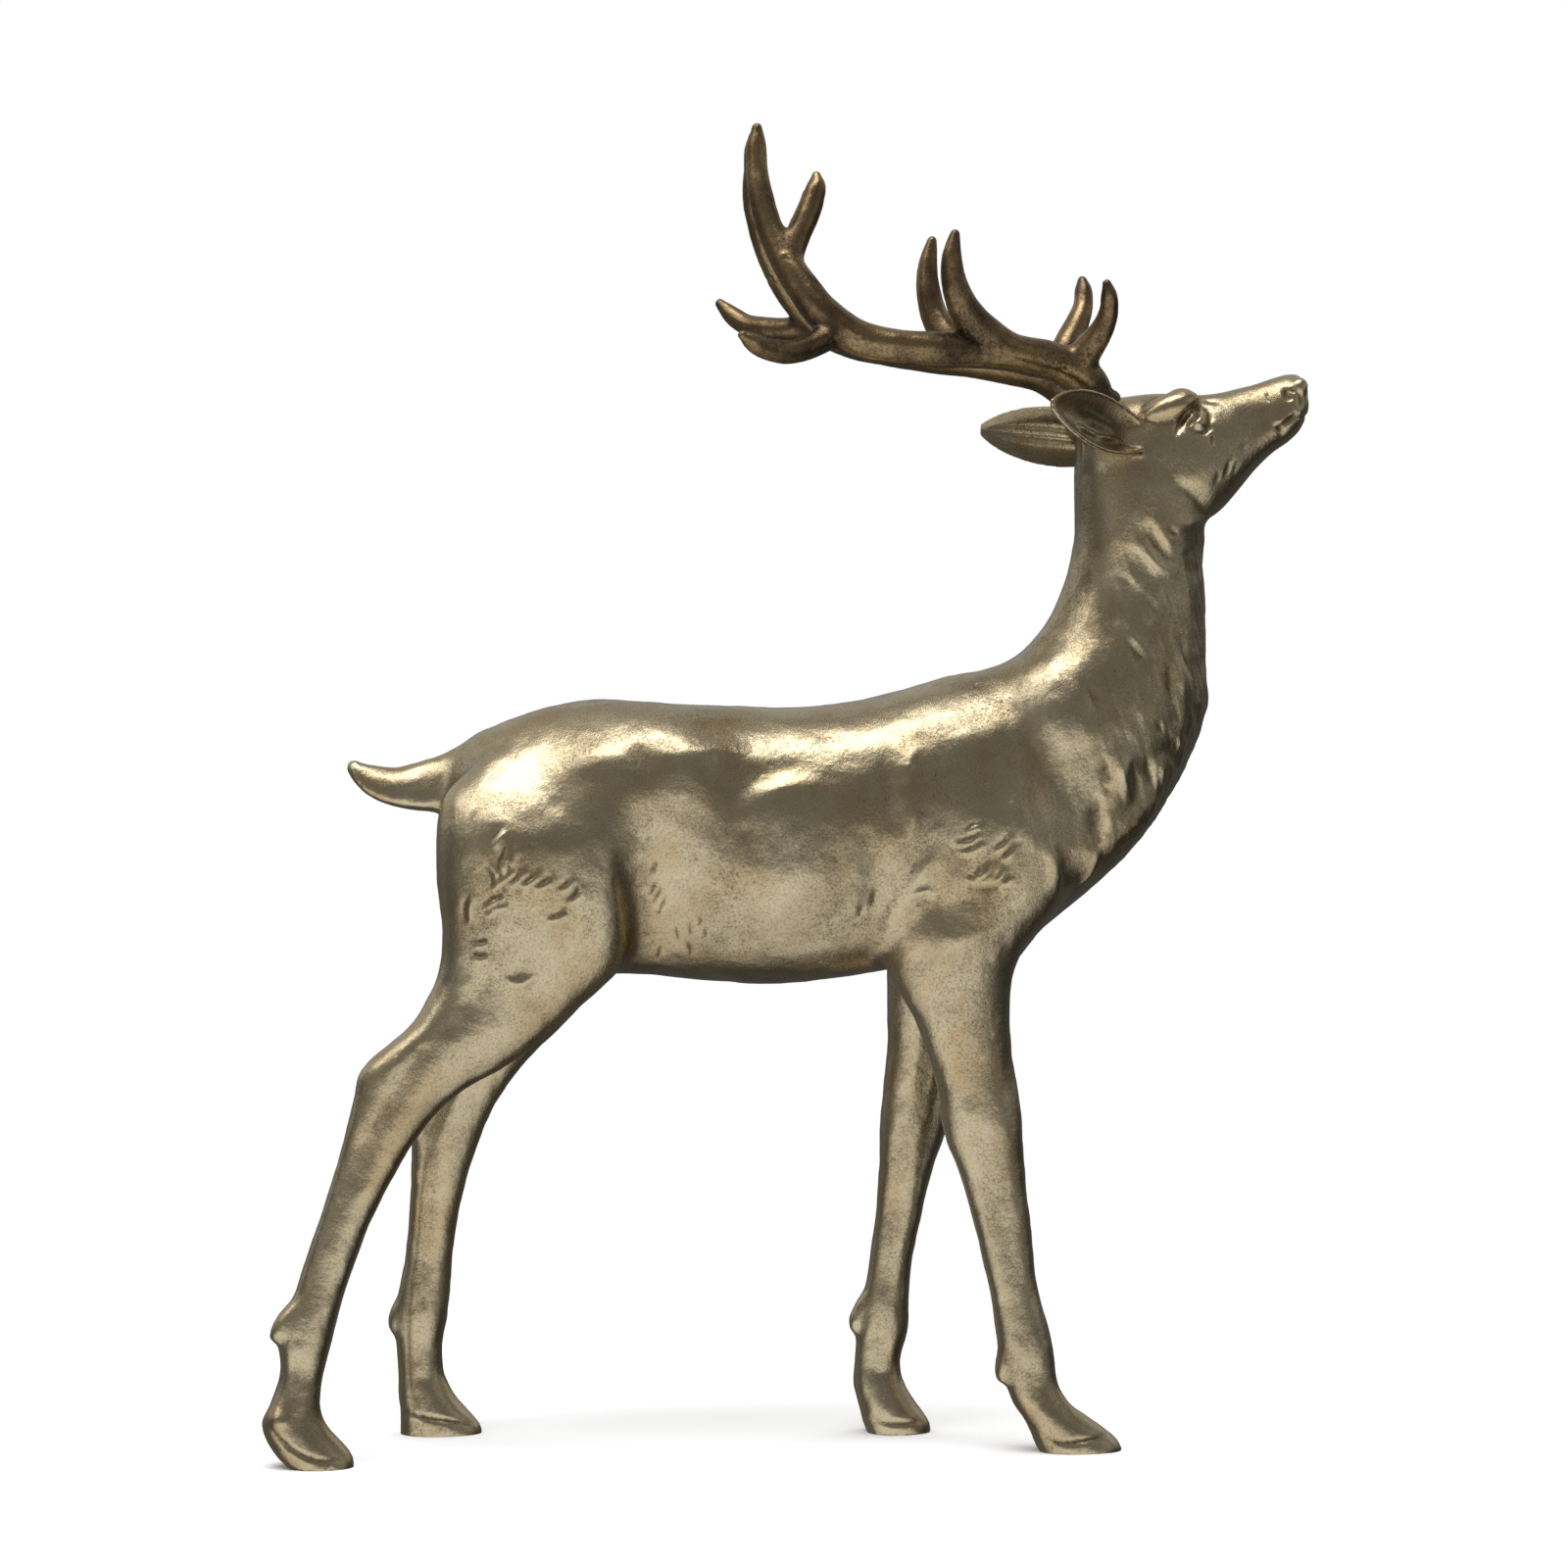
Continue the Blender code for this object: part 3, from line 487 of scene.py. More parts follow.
# %% Antlers
# The beam, then its tines: place along X, out to the side, height and radius
ANTLERS = {
    "right": [
        [(105.5, 9.8, 353, 7.0), (102, 11.6, 361, 7.2), (92.5, 15, 366.9, 6.7), (81, 19, 369, 6.6),
         (67, 23, 370.3, 6.3), (50, 27, 370, 6.1), (34, 30, 370.7, 5.9), (21, 31, 373.4, 6.3),
         (11.3, 31, 380.6, 6.1), (3.6, 29, 390.5, 5.5), (-2, 26, 400.6, 5.2), (-6.6, 23, 411, 4.6),
         (-9.5, 21, 422, 4.1), (-10.7, 19, 431.7, 3.6), (-10.6, 18, 440, 3.1), (-10.4, 18, 446, 2.4)],
        [(97, 13, 366, 6.2), (102.2, 17, 372.6, 5.3), (106, 21, 378.6, 4.2), (107.6, 24, 385, 3.2),
         (107.1, 26, 390, 2.7), (106.2, 26.8, 393.8, 2.1)],
        [(84, 19.4, 368.6, 5.4), (74, 22.5, 370.5, 6.2), (65.5, 25.5, 375.5, 6.5), (60.3, 28, 380.4, 5.9),
         (56.1, 31, 386.6, 5.0), (53.9, 32, 393.6, 4.2), (53.4, 33, 400.4, 3.4), (54.6, 33, 409, 2.2)],
        [(14, 32, 375, 4.8), (6.2, 37, 369.6, 4.4), (-2.7, 43, 366.8, 4.0), (-10.2, 48, 367.6, 3.6),
         (-15.2, 51.4, 369.6, 2.9), (-18.6, 53, 371.6, 2.1)],
        [(-1, 26, 398, 4.8), (2.6, 25, 407, 4.4), (5.8, 24, 414, 4.1), (8, 23, 420.4, 3.6),
         (9.2, 22, 426, 2.8), (9.2, 21.5, 429.6, 2.0)],
    ],
    "left": [
        [(105.5, 9.8, 353, 7.0), (101.6, 11.6, 359.6, 7.4), (93, 15, 366.4, 7.0), (82, 19, 370, 6.8),
         (69, 23, 372.2, 6.4), (52, 27, 374.6, 6.2), (37.6, 30, 377, 5.9), (25, 31, 380, 6.0),
         (13.6, 31, 386.6, 6.0), (5, 29, 396.4, 5.8), (-1.2, 26, 407, 5.4), (-6, 23, 418, 4.8),
         (-8.6, 21, 428.7, 4.1), (-8.8, 19, 438.1, 3.6), (-9, 18, 444.6, 3.1), (-9, 18, 449.6, 2.4)],
        [(96.5, 14, 368, 6.0), (100, 17, 378, 5.0), (104, 21, 385.4, 4.3), (106.6, 24, 392.4, 3.4),
         (106.9, 26, 398.6, 2.7), (106.6, 26.8, 402, 2.1)],
        [(76, 21.6, 370.4, 5.2), (68, 24, 373, 5.8), (59.6, 27, 380.4, 5.4), (55.1, 30, 389, 4.7),
         (53.2, 31.5, 396.8, 4.2), (53, 32.6, 405, 3.6), (54.8, 33, 416.4, 2.2)],
        [(17, 31, 384, 4.9), (6.4, 36, 384.2, 4.5), (-2.4, 42, 385, 4.1), (-9.6, 47.6, 387.2, 3.7),
         (-15.2, 51.4, 391.6, 3.0), (-19.4, 53.4, 396, 2.2)],
        [(3, 26, 406, 4.9), (6, 25, 414.4, 4.5), (8.9, 24, 421.4, 4.2), (10.9, 23, 427, 3.7),
         (11.9, 22, 431.4, 2.9), (11.6, 21.5, 434, 2.0)],
    ],
}
ANTLER_GRAIN = 0.5 * UNIT
ANTLER_MELTING = 60
# A tip ends in a ball, this share of the last ring's radius
TIP = 0.8
# Thick foot of the antler on the skull: place, half length, width and height, and tilt
BURR = (104.8, 10.0, 354.2, 9.4, 7.2, 4.8, -16)


def antler_piece(word, side):
    bm = bmesh.new()
    beam, *tines = ANTLERS[word]
    for path, count in ((beam, 120), *((tine, 40) for tine in tines)):
        *rest, (x, y, z, radius) = path
        radius *= TIP
        way = (Vector((x, y, z)) - Vector(rest[-1][:3])).normalized() * (0.7 * radius)
        tip = (x - way.x, y - way.y, z - way.z, radius)
        tube(bm, [*rest, tip], count, side)
        egg(bm, tip[0], side * tip[1], tip[2], radius, radius, radius, 0)
    x, out, z, *size = BURR
    egg(bm, x, side * out, z, *size)
    antler = new_piece(f"stag_antler_{word}", bm)
    fused(antler, ANTLER_GRAIN, 6)
    forks = [Vector((x, side * y, z)) for x, y, z, radius in (tine[1] for tine in tines)]

    def fork_softness(x, y, z):
        nearest = np.min([np.hypot(np.hypot(x - f.x, y - f.y), z - f.z) for f in forks], axis=0)
        return 0.5 * eased(nearest, 15, 6)

    melted(antler, fork_softness, ANTLER_MELTING)
    return antler


antlers = {word: antler_piece(word, side) for word, side in SIDES.items()}
for word, antler in antlers.items():
    print(word, "antler skin:", len(antler.data.vertices), "vertices")

# %% [markdown]
# ## Seats under the antlers
#
# The skull has a flat under each antler, and the antler a peg that goes into it. The same
# oval cut is planned here as in the solid, so the two castings meet at a fine line. It is made
# last, after the carving, so that its edges stay sharp. Here a Boolean is the right tool, as
# the real joint is a hard edge.

# %% Seats
# Middle of a seat, the way that it faces, and the gap left at the joint, in metres
SEAT = (106.2, 10.0, 353.2)
SEAT_WAY = (-0.30, 0.20, 0.93)
SEAT_GAP = 0.0003
SEAT_HALF_LENGTH = 11.6
SEAT_HALF_WIDTH = 8.4
# The cutters reach past the skull and past the foot of the antler
SEAT_CUT_HEIGHT = 12
UNDER_CUT_REACH = 30


def seat_frame(side):
    way = Vector(SEAT_WAY).normalized()
    way.y *= side
    fore = Vector((0, 1, 0)).cross(way).normalized()
    axes = Matrix((fore, way.cross(fore), way)).transposed()
    x, y, z = SEAT
    return Matrix.Translation(place(x, side * y, z)) @ axes.to_4x4()


def rod(name, at, half_length, half_width, low, high):
    """An upright oval rod, from low to high along the seat's own axis."""
    bm = bmesh.new()
    oval = Matrix.Diagonal((half_length, half_width, 1.0, 1.0))
    bmesh.ops.create_cone(bm, cap_ends=True, segments=RING_SIDES, radius1=1.0, radius2=1.0,
                          depth=high - low, matrix=at @ Matrix.Translation((0, 0, (low + high) / 2)) @ oval)
    return new_piece(name, bm)


def cut(obj, *tools):
    for tool in tools:
        step = obj.modifiers.new(tool.name, "BOOLEAN")
        step.operation = "DIFFERENCE"
        step.object = tool
    settled(obj)
    for tool in tools:
        bpy.data.objects.remove(tool)


def seats_cut():
    """Cuts the soles flat, a seat for each antler, and the foot of each antler."""
    floor_block = bmesh.new()
    bmesh.ops.create_cube(floor_block, size=1.0, matrix=Matrix.Translation((0, 0, -0.5)))
    cut(deer, new_piece("ground_cut", floor_block),
        *(rod(f"seat_cut_{side}", seat_frame(side), SEAT_HALF_LENGTH * UNIT, SEAT_HALF_WIDTH * UNIT,
              -SEAT_GAP, SEAT_CUT_HEIGHT * UNIT) for side in SIDES.values()))
    reach = UNDER_CUT_REACH * UNIT
    for word, side in SIDES.items():
        cut(antlers[word], rod(f"under_{word}", seat_frame(side), reach, reach, -reach, 0))


# %% [markdown]
# ## Carving
#
# The figure is carved by moving its skin along its own normals. A muscle or a hollow is a
# tilted oval of the side view. A lock of hair, a fold or a groove is a stroke: a short curve
# with a width, a height and a profile across it. Both flanks get the same carving. Strokes of
# a sculpting brush can't be written down in a script, and these can.

# %% Reading and writing a mesh's points
class Skin:
    """The points and normals of a mesh in the drawing's units, and how far each is pushed out."""

    def __init__(self, obj):
        self.mesh = obj.data
        self.metres = rows_of(self.mesh.vertices, "co")
        self.normals = rows_of(self.mesh.vertex_normals, "vector")
        self.x = self.metres[:, 0] / UNIT + MIDDLE_OF_LENGTH
        self.y = self.metres[:, 1] / UNIT
        self.z = self.metres[:, 2] / UNIT + GROUND
        self.push = np.zeros(len(self.metres))
        # Forms were read in side view, so they fade where the skin turns away from the side
        self.sideways = np.clip(np.abs(self.normals[:, 1]) * 1.6, 0, 1)

    def written(self):
        moved = self.metres + self.normals * (self.push * UNIT)[:, None]
        self.mesh.vertices.foreach_set("co", moved.ravel())
        self.mesh.update()


# %% Muscles and hollows of the body
# How far out to the side the near flank and the near side of the neck stand, the pixel of the
# photo past which a form is the neck's, and the size of a pixel at the flank
TRUNK_OUT = 34
NECK_OUT = 20
NECK_STARTS = 1100
PIXEL = 1215 / PIXELS_AT_ONE
# Strokes on the trunk reach no lower than this, so the legs below them stay as they are
TRUNK_ABOVE = 150
# Photo spot, half length and half height in pixels, tilt in degrees, how far it stands out
FORMS = [
    (560, 884, 84, 62, 10, 2.0), (608, 776, 26, 16, 12, 1.3), (520, 1010, 60, 44, 40, -2.0),
    (650, 770, 12, 14, 0, -0.6),
    (660, 905, 20, 70, 4, -1.8), (690, 915, 40, 70, 4, -1.0), (664, 786, 20, 18, -10, -0.7),
    (728, 768, 36, 15, 0, 1.3), (800, 900, 80, 40, 0, 0.8),
    (894, 890, 20, 60, 4, -1.4), (905, 805, 11, 40, 0, -0.9), (1034, 838, 46, 46, 0, 2.2),
    (955, 1010, 46, 40, 0, 1.4), (972, 964, 50, 20, 4, 1.5), (952, 922, 34, 16, 0, -0.8),
    (1010, 920, 36, 16, -4, -0.7), (1084, 726, 40, 34, -40, 2.3), (1010, 752, 40, 16, 14, 0.9),
    (1140, 790, 15, 34, -8, 1.2), (1140, 560, 18, 40, 12, 0.6),
]
# Which leg, place along X, height, half length, half height, tilt, depth: between bone and sinew
LEG_GROOVES = [
    ("hind_left", -116, 116, 4, 20, -24, -1.0), ("hind_left", -121, 76, 4, 30, -4, -0.6),
    ("fore_right", 74, 130, 4, 22, 3, -0.5), ("fore_right", 68, 84, 4, 26, 14, -0.4),
    ("fore_left", 50, 130, 4, 22, -10, -0.5), ("fore_left", 40, 84, 4, 26, -8, -0.4),
]


def bell(across, along, x, z, half_length, half_height, angle):
    """1 in the middle of a tilted oval of the side view, falling softly to 0 outside it."""
    turn = math.radians(angle)
    u = (across - x) * math.cos(turn) + (along - z) * math.sin(turn)
    v = -(across - x) * math.sin(turn) + (along - z) * math.cos(turn)
    return np.exp(-((u / half_length) ** 2) - (v / half_height) ** 2)


def muscles_pushed(skin_of):
    for px, py, half_length, half_height, angle, height in FORMS:
        x, z = seen(px, py, -TRUNK_OUT if px < NECK_STARTS else -NECK_OUT)
        skin_of.push += height * skin_of.sideways * bell(
            skin_of.x, skin_of.z, x, z, half_length * PIXEL, half_height * PIXEL, angle)
    for name, cx, cz, half_length, half_height, angle, height in LEG_GROOVES:
        rows, hoof, top, inward = LEGS[name]
        near = np.abs(skin_of.y - out_to(hoof, top, inward)(cz)) < 14
        skin_of.push += near * height * skin_of.sideways * bell(
            skin_of.x, skin_of.z, cx, cz, half_length * 0.8, half_height * 0.8, angle)


# %% Strokes
def stroke(skin_of, spots, out, width, height, where=None, other_width=None):
    """A stroke through photo spots, highest midway, with a width left and another right of its way."""
    other_width = other_width or width
    widest = 3 * max(width, other_width)
    path = flow([(k, *seen(px, py, out)) for k, (px, py) in enumerate(spots)], 6 * len(spots))[:, 1:]
    low, high = path.min(0) - widest, path.max(0) + widest
    near = (skin_of.x > low[0]) & (skin_of.x < high[0]) & (skin_of.z > low[1]) & (skin_of.z < high[1])
    near &= skin_of.sideways > 0.05
    if where is not None:
        near &= where
    index = np.nonzero(near)[0]
    if not len(index):
        return
    p = np.column_stack([skin_of.x[index], skin_of.z[index]])
    lengths = np.linalg.norm(np.diff(path, axis=0), axis=1)
    total = lengths.sum()
    best = np.full(len(index), 1e9)
    signed = np.zeros(len(index))
    along = np.zeros(len(index))
    done = 0.0
    for (a, b), length in zip(zip(path[:-1], path[1:]), lengths):
        way = (b - a) / length
        t = np.clip((p - a) @ way, 0, length)
        off = p - a - t[:, None] * way
        distance = np.linalg.norm(off, axis=1)
        closer = distance < best
        best = np.where(closer, distance, best)
        signed = np.where(closer, off @ np.array([-way[1], way[0]]), signed)
        along = np.where(closer, (done + t) / total, along)
        done += length
    fade = np.sin(np.pi * along)
    side_width = np.where(signed > 0, width, other_width)
    shape = np.exp(-((best / side_width) ** 2))
    skin_of.push[index] += height * fade * shape * skin_of.sideways[index]


def lock(skin_of, spots, out, width, height, where=None):
    """A lock of hair: a raised leaf with a fine crease along the right of its way."""
    stroke(skin_of, spots, out, width, height, where, width * 0.55)
    shift = width * 2.9
    shifted = []
    for behind, (px, py), ahead in zip(spots[:1] + spots, spots, spots[1:] + spots[-1:]):
        way = Vector((ahead[0] - behind[0], ahead[1] - behind[1])).normalized()
        shifted.append((px - way.y * shift, py + way.x * shift))
    stroke(skin_of, shifted, out, width * 0.5, -height * 0.45, where)


# %% Edges between the great masses
def edges_pushed(skin_of):
    trunk = skin_of.z > TRUNK_ABOVE
    # Front edge of the thigh, standing proud of the flank
    stroke(skin_of, [(642, 996), (628, 955), (620, 910), (616, 870), (612, 836)], -36, 11, 2.2, trunk, 4.0)
    # Groove over the last ribs, and the ledge of the ribs below it
    stroke(skin_of, [(742, 826), (758, 806), (778, 792), (805, 784), (840, 788)], -35, 3.6, -0.5, trunk)
    stroke(skin_of, [(750, 846), (762, 831), (776, 817), (796, 807), (820, 804), (846, 810)],
           -36, 3.8, 1.0, trunk, 15)
    # Rear edge of the upper arm over the ribs
    stroke(skin_of, [(898, 988), (908, 960), (922, 925), (940, 893), (966, 862)], -33, 2.6, 1.7, trunk, 12)
    # Long hollow of the gaskin between the sinew and the bone
    stroke(skin_of, [(512, 980), (474, 1026), (432, 1074), (400, 1120), (372, 1170), (350, 1220),
                     (330, 1272), (316, 1306)], -31, 4.6, -1.1, skin_of.y < 0, 3.6)


# %% [markdown]
# ### Hair and folds
#
# Hair shows as whorls on the haunch and the shoulder, as long locks down the throat and the
# chest, and as a few nicks on the flank. Each was read off the photograph. Particle hair would
# be far too fine, because in a casting a lock is one broad stroke of the sculptor's tool.

# %% Whorl of the haunch and nicks of the flank
HAUNCH_LOCKS = [
    [(519, 848), (510, 856), (504, 868)], [(523, 862), (517, 876), (512, 892)],
    [(529, 860), (527, 872), (523, 884)], [(500, 880), (508, 894), (505, 912)],
    [(510, 878), (516, 892), (508, 908)], [(522, 878), (524, 890), (512, 905)],
    [(535, 884), (531, 897), (516, 909)], [(549, 886), (545, 898), (529, 908)],
    [(566, 892), (560, 901), (542, 910)], [(586, 894), (580, 904), (570, 912)],
    [(592, 900), (590, 914), (578, 924)], [(522, 926), (508, 928), (497, 938)],
    [(516, 917), (504, 922), (496, 930)], [(484, 912), (480, 928), (481, 944)],
    [(582, 930), (568, 938), (556, 940)], [(500, 976), (490, 980), (480, 976)],
    [(500, 962), (490, 966), (482, 964)],
]
FLANK_NICKS = [
    [(672, 878), (665, 893)], [(671, 900), (664, 918)], [(682, 912), (672, 938)],
    [(676, 905), (668, 925)], [(881, 920), (876, 940)], [(716, 935), (714, 950)],
    [(702, 962), (708, 980)], [(704, 940), (706, 960)], [(690, 945), (694, 965)],
    [(676, 968), (672, 984)], [(720, 945), (721, 962)], [(894, 905), (889, 930)],
]
SHOULDER_LOCKS = [
    [(1004, 850), (988, 860), (970, 862)], [(1006, 858), (990, 869), (972, 870)],
    [(1003, 843), (992, 846), (984, 852)], [(1010, 876), (1006, 890), (994, 898), (982, 897)],
    [(1017, 878), (1014, 893), (1001, 902), (988, 902)], [(1024, 882), (1019, 896), (1006, 905)],
    [(1003, 880), (1000, 891), (990, 894)], [(1029, 850), (1026, 861), (1012, 871)],
    [(1038, 860), (1030, 872), (1020, 879)], [(1034, 893), (1027, 901), (1017, 907)],
]
FAINT_LOCKS = [
    [(1036, 816), (1032, 824), (1034, 832)], [(1036, 760), (1025, 773), (1012, 779)],
    [(1044, 766), (1034, 776), (1024, 782)], [(964, 842), (955, 847), (945, 855)],
    [(486, 820), (478, 832), (474, 846)], [(598, 936), (590, 948), (578, 956)],
    [(560, 918), (548, 926), (538, 930)], [(540, 940), (528, 950), (514, 954)],
]


def hair_pushed(skin_of):
    trunk = skin_of.z > TRUNK_ABOVE
    for spots in HAUNCH_LOCKS:
        lock(skin_of, spots, -36, 1.8, 0.62, trunk)
    for spots in FLANK_NICKS:
        stroke(skin_of, spots, -35, 0.9, -0.36, trunk)
    for spots in SHOULDER_LOCKS:
        lock(skin_of, spots, -31, 1.6, 0.56, trunk)
    for spots in FAINT_LOCKS:
        stroke(skin_of, spots, -32, 1.8, 0.25, trunk, 1.2)
    # A fold curved like a smile at the bottom of the thigh
    stroke(skin_of, [(514, 998), (530, 1004), (548, 994)], -32, 1.6, 0.8, trunk, 1.1)
    stroke(skin_of, [(512, 986), (530, 993), (550, 982)], -32, 3.4, -0.3, trunk)


# %% Ridges of the shoulder blade and elbow
def shoulder_pushed(skin_of):
    trunk = skin_of.z > TRUNK_ABOVE
    stroke(skin_of, [(937, 760), (929, 781), (922, 802)], -34, 1.6, 0.7, trunk, 3.0)
    stroke(skin_of, [(937, 802), (932, 830), (929, 862)], -34, 1.6, 0.6, trunk, 3.0)
    stroke(skin_of, [(926, 928), (931, 914), (944, 909), (958, 915)], -32, 1.2, 0.8, trunk, 3.0)
    stroke(skin_of, [(984, 903), (1002, 908), (1032, 902)], -31, 1.2, -0.4, trunk, 3.4)
    stroke(skin_of, [(1078, 920), (1078, 885), (1064, 852)], -29, 3.0, 0.9, trunk, 1.5)


# %% Locks of the throat, neck and chest
NECK_RIDGES = [
    ([(1134, 640), (1150, 647), (1162, 660), (1170, 676)], 1.7, 1.0),
    ([(1162, 618), (1170, 628), (1176, 640)], 1.5, 0.7), ([(1168, 600), (1178, 611), (1184, 623)], 1.5, 0.7),
    ([(1148, 550), (1168, 563), (1184, 577), (1204, 582)], 2.2, 1.1),
    ([(1180, 528), (1184, 545), (1198, 558)], 1.7, 0.8),
    ([(1140, 578), (1155, 588), (1168, 604)], 1.6, 0.6),
    ([(1196, 664), (1205, 690), (1209, 716)], 2.4, 1.1),
    ([(1128, 764), (1138, 783), (1146, 803), (1148, 822)], 2.6, 1.1),
    ([(1176, 774), (1187, 786), (1188, 802)], 2.6, 1.0),
    ([(1128, 806), (1126, 830), (1128, 850)], 3.0, 1.0),
    ([(1120, 868), (1108, 896), (1088, 924)], 1.4, 1.1),
    ([(1196, 742), (1206, 756), (1208, 772)], 1.8, 0.7),
]
NECK_GROOVES = [
    ([(1172, 530), (1177, 548), (1188, 566), (1202, 574)], 2.4, -1.2),
    ([(1150, 655), (1160, 668), (1164, 684)], 2.0, -0.8),
    ([(1190, 655), (1191, 690), (1195, 716), (1204, 742)], 1.6, -1.0),
    ([(1204, 645), (1207, 666), (1217, 690), (1224, 716)], 1.5, -0.9),
    ([(1149, 775), (1157, 800), (1154, 832)], 2.0, -1.0), ([(1121, 768), (1127, 800)], 2.0, -0.7),
    ([(1190, 758), (1201, 784)], 1.8, -0.9), ([(1119, 812), (1113, 840), (1112, 868)], 2.4, -2.0),
    ([(1172, 845), (1156, 859), (1134, 872)], 0.9, -0.6),
    ([(1174, 851), (1159, 865), (1140, 877)], 0.9, -0.6),
    ([(1165, 842), (1149, 855), (1136, 862)], 0.9, -0.5), ([(1190, 541), (1206, 546)], 1.0, -0.4),
    ([(1165, 770), (1172, 796), (1170, 820)], 1.4, -0.6), ([(1180, 735), (1184, 752)], 1.0, -0.5),
    ([(1184, 640), (1188, 668)], 1.2, -0.4), ([(1100, 690), (1112, 712), (1120, 732)], 1.6, -0.5),
    ([(1112, 690), (1126, 716), (1138, 736)], 2.0, -0.4),
]


def neck_pushed(skin_of):
    for spots, width, height in NECK_RIDGES:
        stroke(skin_of, spots, -18, width * 1.5, height * 0.8, None, width)
    for spots, width, height in NECK_GROOVES:
        stroke(skin_of, spots, -18, width * 1.15, height * 0.7)


# %% Face
FACE_LINES = [
    # Deep crease under the brow, upper lid, groove under the lid
    ([(1197, 447), (1206, 430), (1215, 420), (1224, 412), (1230, 400)], 1.1, -1.4),
    ([(1208, 434), (1217, 423), (1227, 411)], 0.7, 0.6), ([(1212, 436), (1220, 426), (1229, 414)], 0.6, -0.7),
    ([(1219, 430), (1223, 433), (1227, 435)], 1.3, 0.5),
    # Front rim of the eye, front corner, tear groove and its edge
    ([(1227, 408), (1235, 420), (1236, 432), (1230, 441), (1210, 442)], 1.0, -0.8),
    ([(1237, 426), (1238, 436)], 0.7, 0.5), ([(1237, 441), (1238, 456)], 0.9, -0.7),
    ([(1228, 406), (1240, 408), (1250, 409)], 0.8, -0.5), ([(1204, 442), (1216, 444), (1230, 443)], 1.2, 0.3),
    # Cheek, its lower edge and the fold below it
    ([(1176, 504), (1210, 511), (1240, 514)], 5.0, -0.35),
    ([(1158, 492), (1198, 492), (1240, 497)], 4.0, 0.45),
    ([(1194, 539), (1220, 533), (1243, 524)], 2.6, 0.5),
    # Mouth, its corner and the lip over it, nostril, edge of the nose pad
    ([(1331, 419), (1322, 425), (1313, 432), (1305, 438)], 0.9, -1.0),
    ([(1312, 433), (1305, 439)], 1.7, -0.8), ([(1300, 432), (1308, 429), (1318, 422)], 1.4, 0.5),
    ([(1318, 393), (1316, 399), (1319, 404), (1325, 403)], 1.0, -1.0),
    ([(1321, 394), (1326, 399)], 0.8, -0.6), ([(1328, 396), (1331, 406), (1331, 416)], 1.0, -0.7),
    ([(1298, 394), (1297, 402), (1299, 409)], 0.6, -0.3),
    ([(1262, 421), (1286, 424), (1306, 422)], 4.0, -0.6), ([(1250, 427), (1264, 440), (1284, 446)], 3.2, 0.4),
    # Chin hair
    ([(1262, 459), (1254, 478), (1249, 492)], 0.9, -0.3), ([(1271, 451), (1266, 463)], 0.9, -0.3),
    ([(1246, 478), (1240, 496)], 0.9, -0.3), ([(1257, 470), (1251, 487)], 0.8, -0.28),
    ([(1266, 468), (1258, 486)], 0.8, -0.28), ([(1276, 444), (1268, 456)], 0.8, -0.25),
]


def face_pushed(skin_of):
    head = (skin_of.z > 300) & (skin_of.x > 118)
    for spots, width, height in FACE_LINES:
        stroke(skin_of, spots, -14, width, height, head)


# %% Front of the muzzle
def muzzle_pushed(skin_of):
    """Nostrils, the groove between them and the mouth line, as they run round the front."""
    front = eased(skin_of.normals[:, 0], 0.1, 0.5) * (skin_of.x > 168) * (skin_of.z > 338)
    for side in SIDES.values():
        nostril = np.hypot((skin_of.y - side * 4.4) / 1.5, (skin_of.z - 359.0) / 2.0)
        skin_of.push -= 0.9 * front * np.exp(-(nostril**2))
    between = eased(skin_of.z, 350, 353) * eased(skin_of.z, 362, 359)
    skin_of.push -= 0.5 * front * between * np.exp(-((skin_of.y / 0.7) ** 2))
    skin_of.push -= 0.45 * front * np.exp(-(((skin_of.z - 351.4 + 0.12 * np.abs(skin_of.y)) / 0.8) ** 2))


# %% Inside of the ears
# From share to share of the length, how far up at either end, half width and height of a fold
EAR_FOLDS = [
    (0.42, 0.62, -0.34, -0.26, 0.09, 0.9), (0.42, 0.6, -0.5, -0.42, 0.09, -0.6),
    (0.12, 0.4, -0.16, -0.34, 0.10, 1.0), (0.12, 0.38, -0.34, -0.5, 0.10, -0.8),
    (0.2, 0.6, 0.34, 0.44, 0.12, 0.5), (0.2, 0.5, 0.08, 0.16, 0.14, 0.5),
]


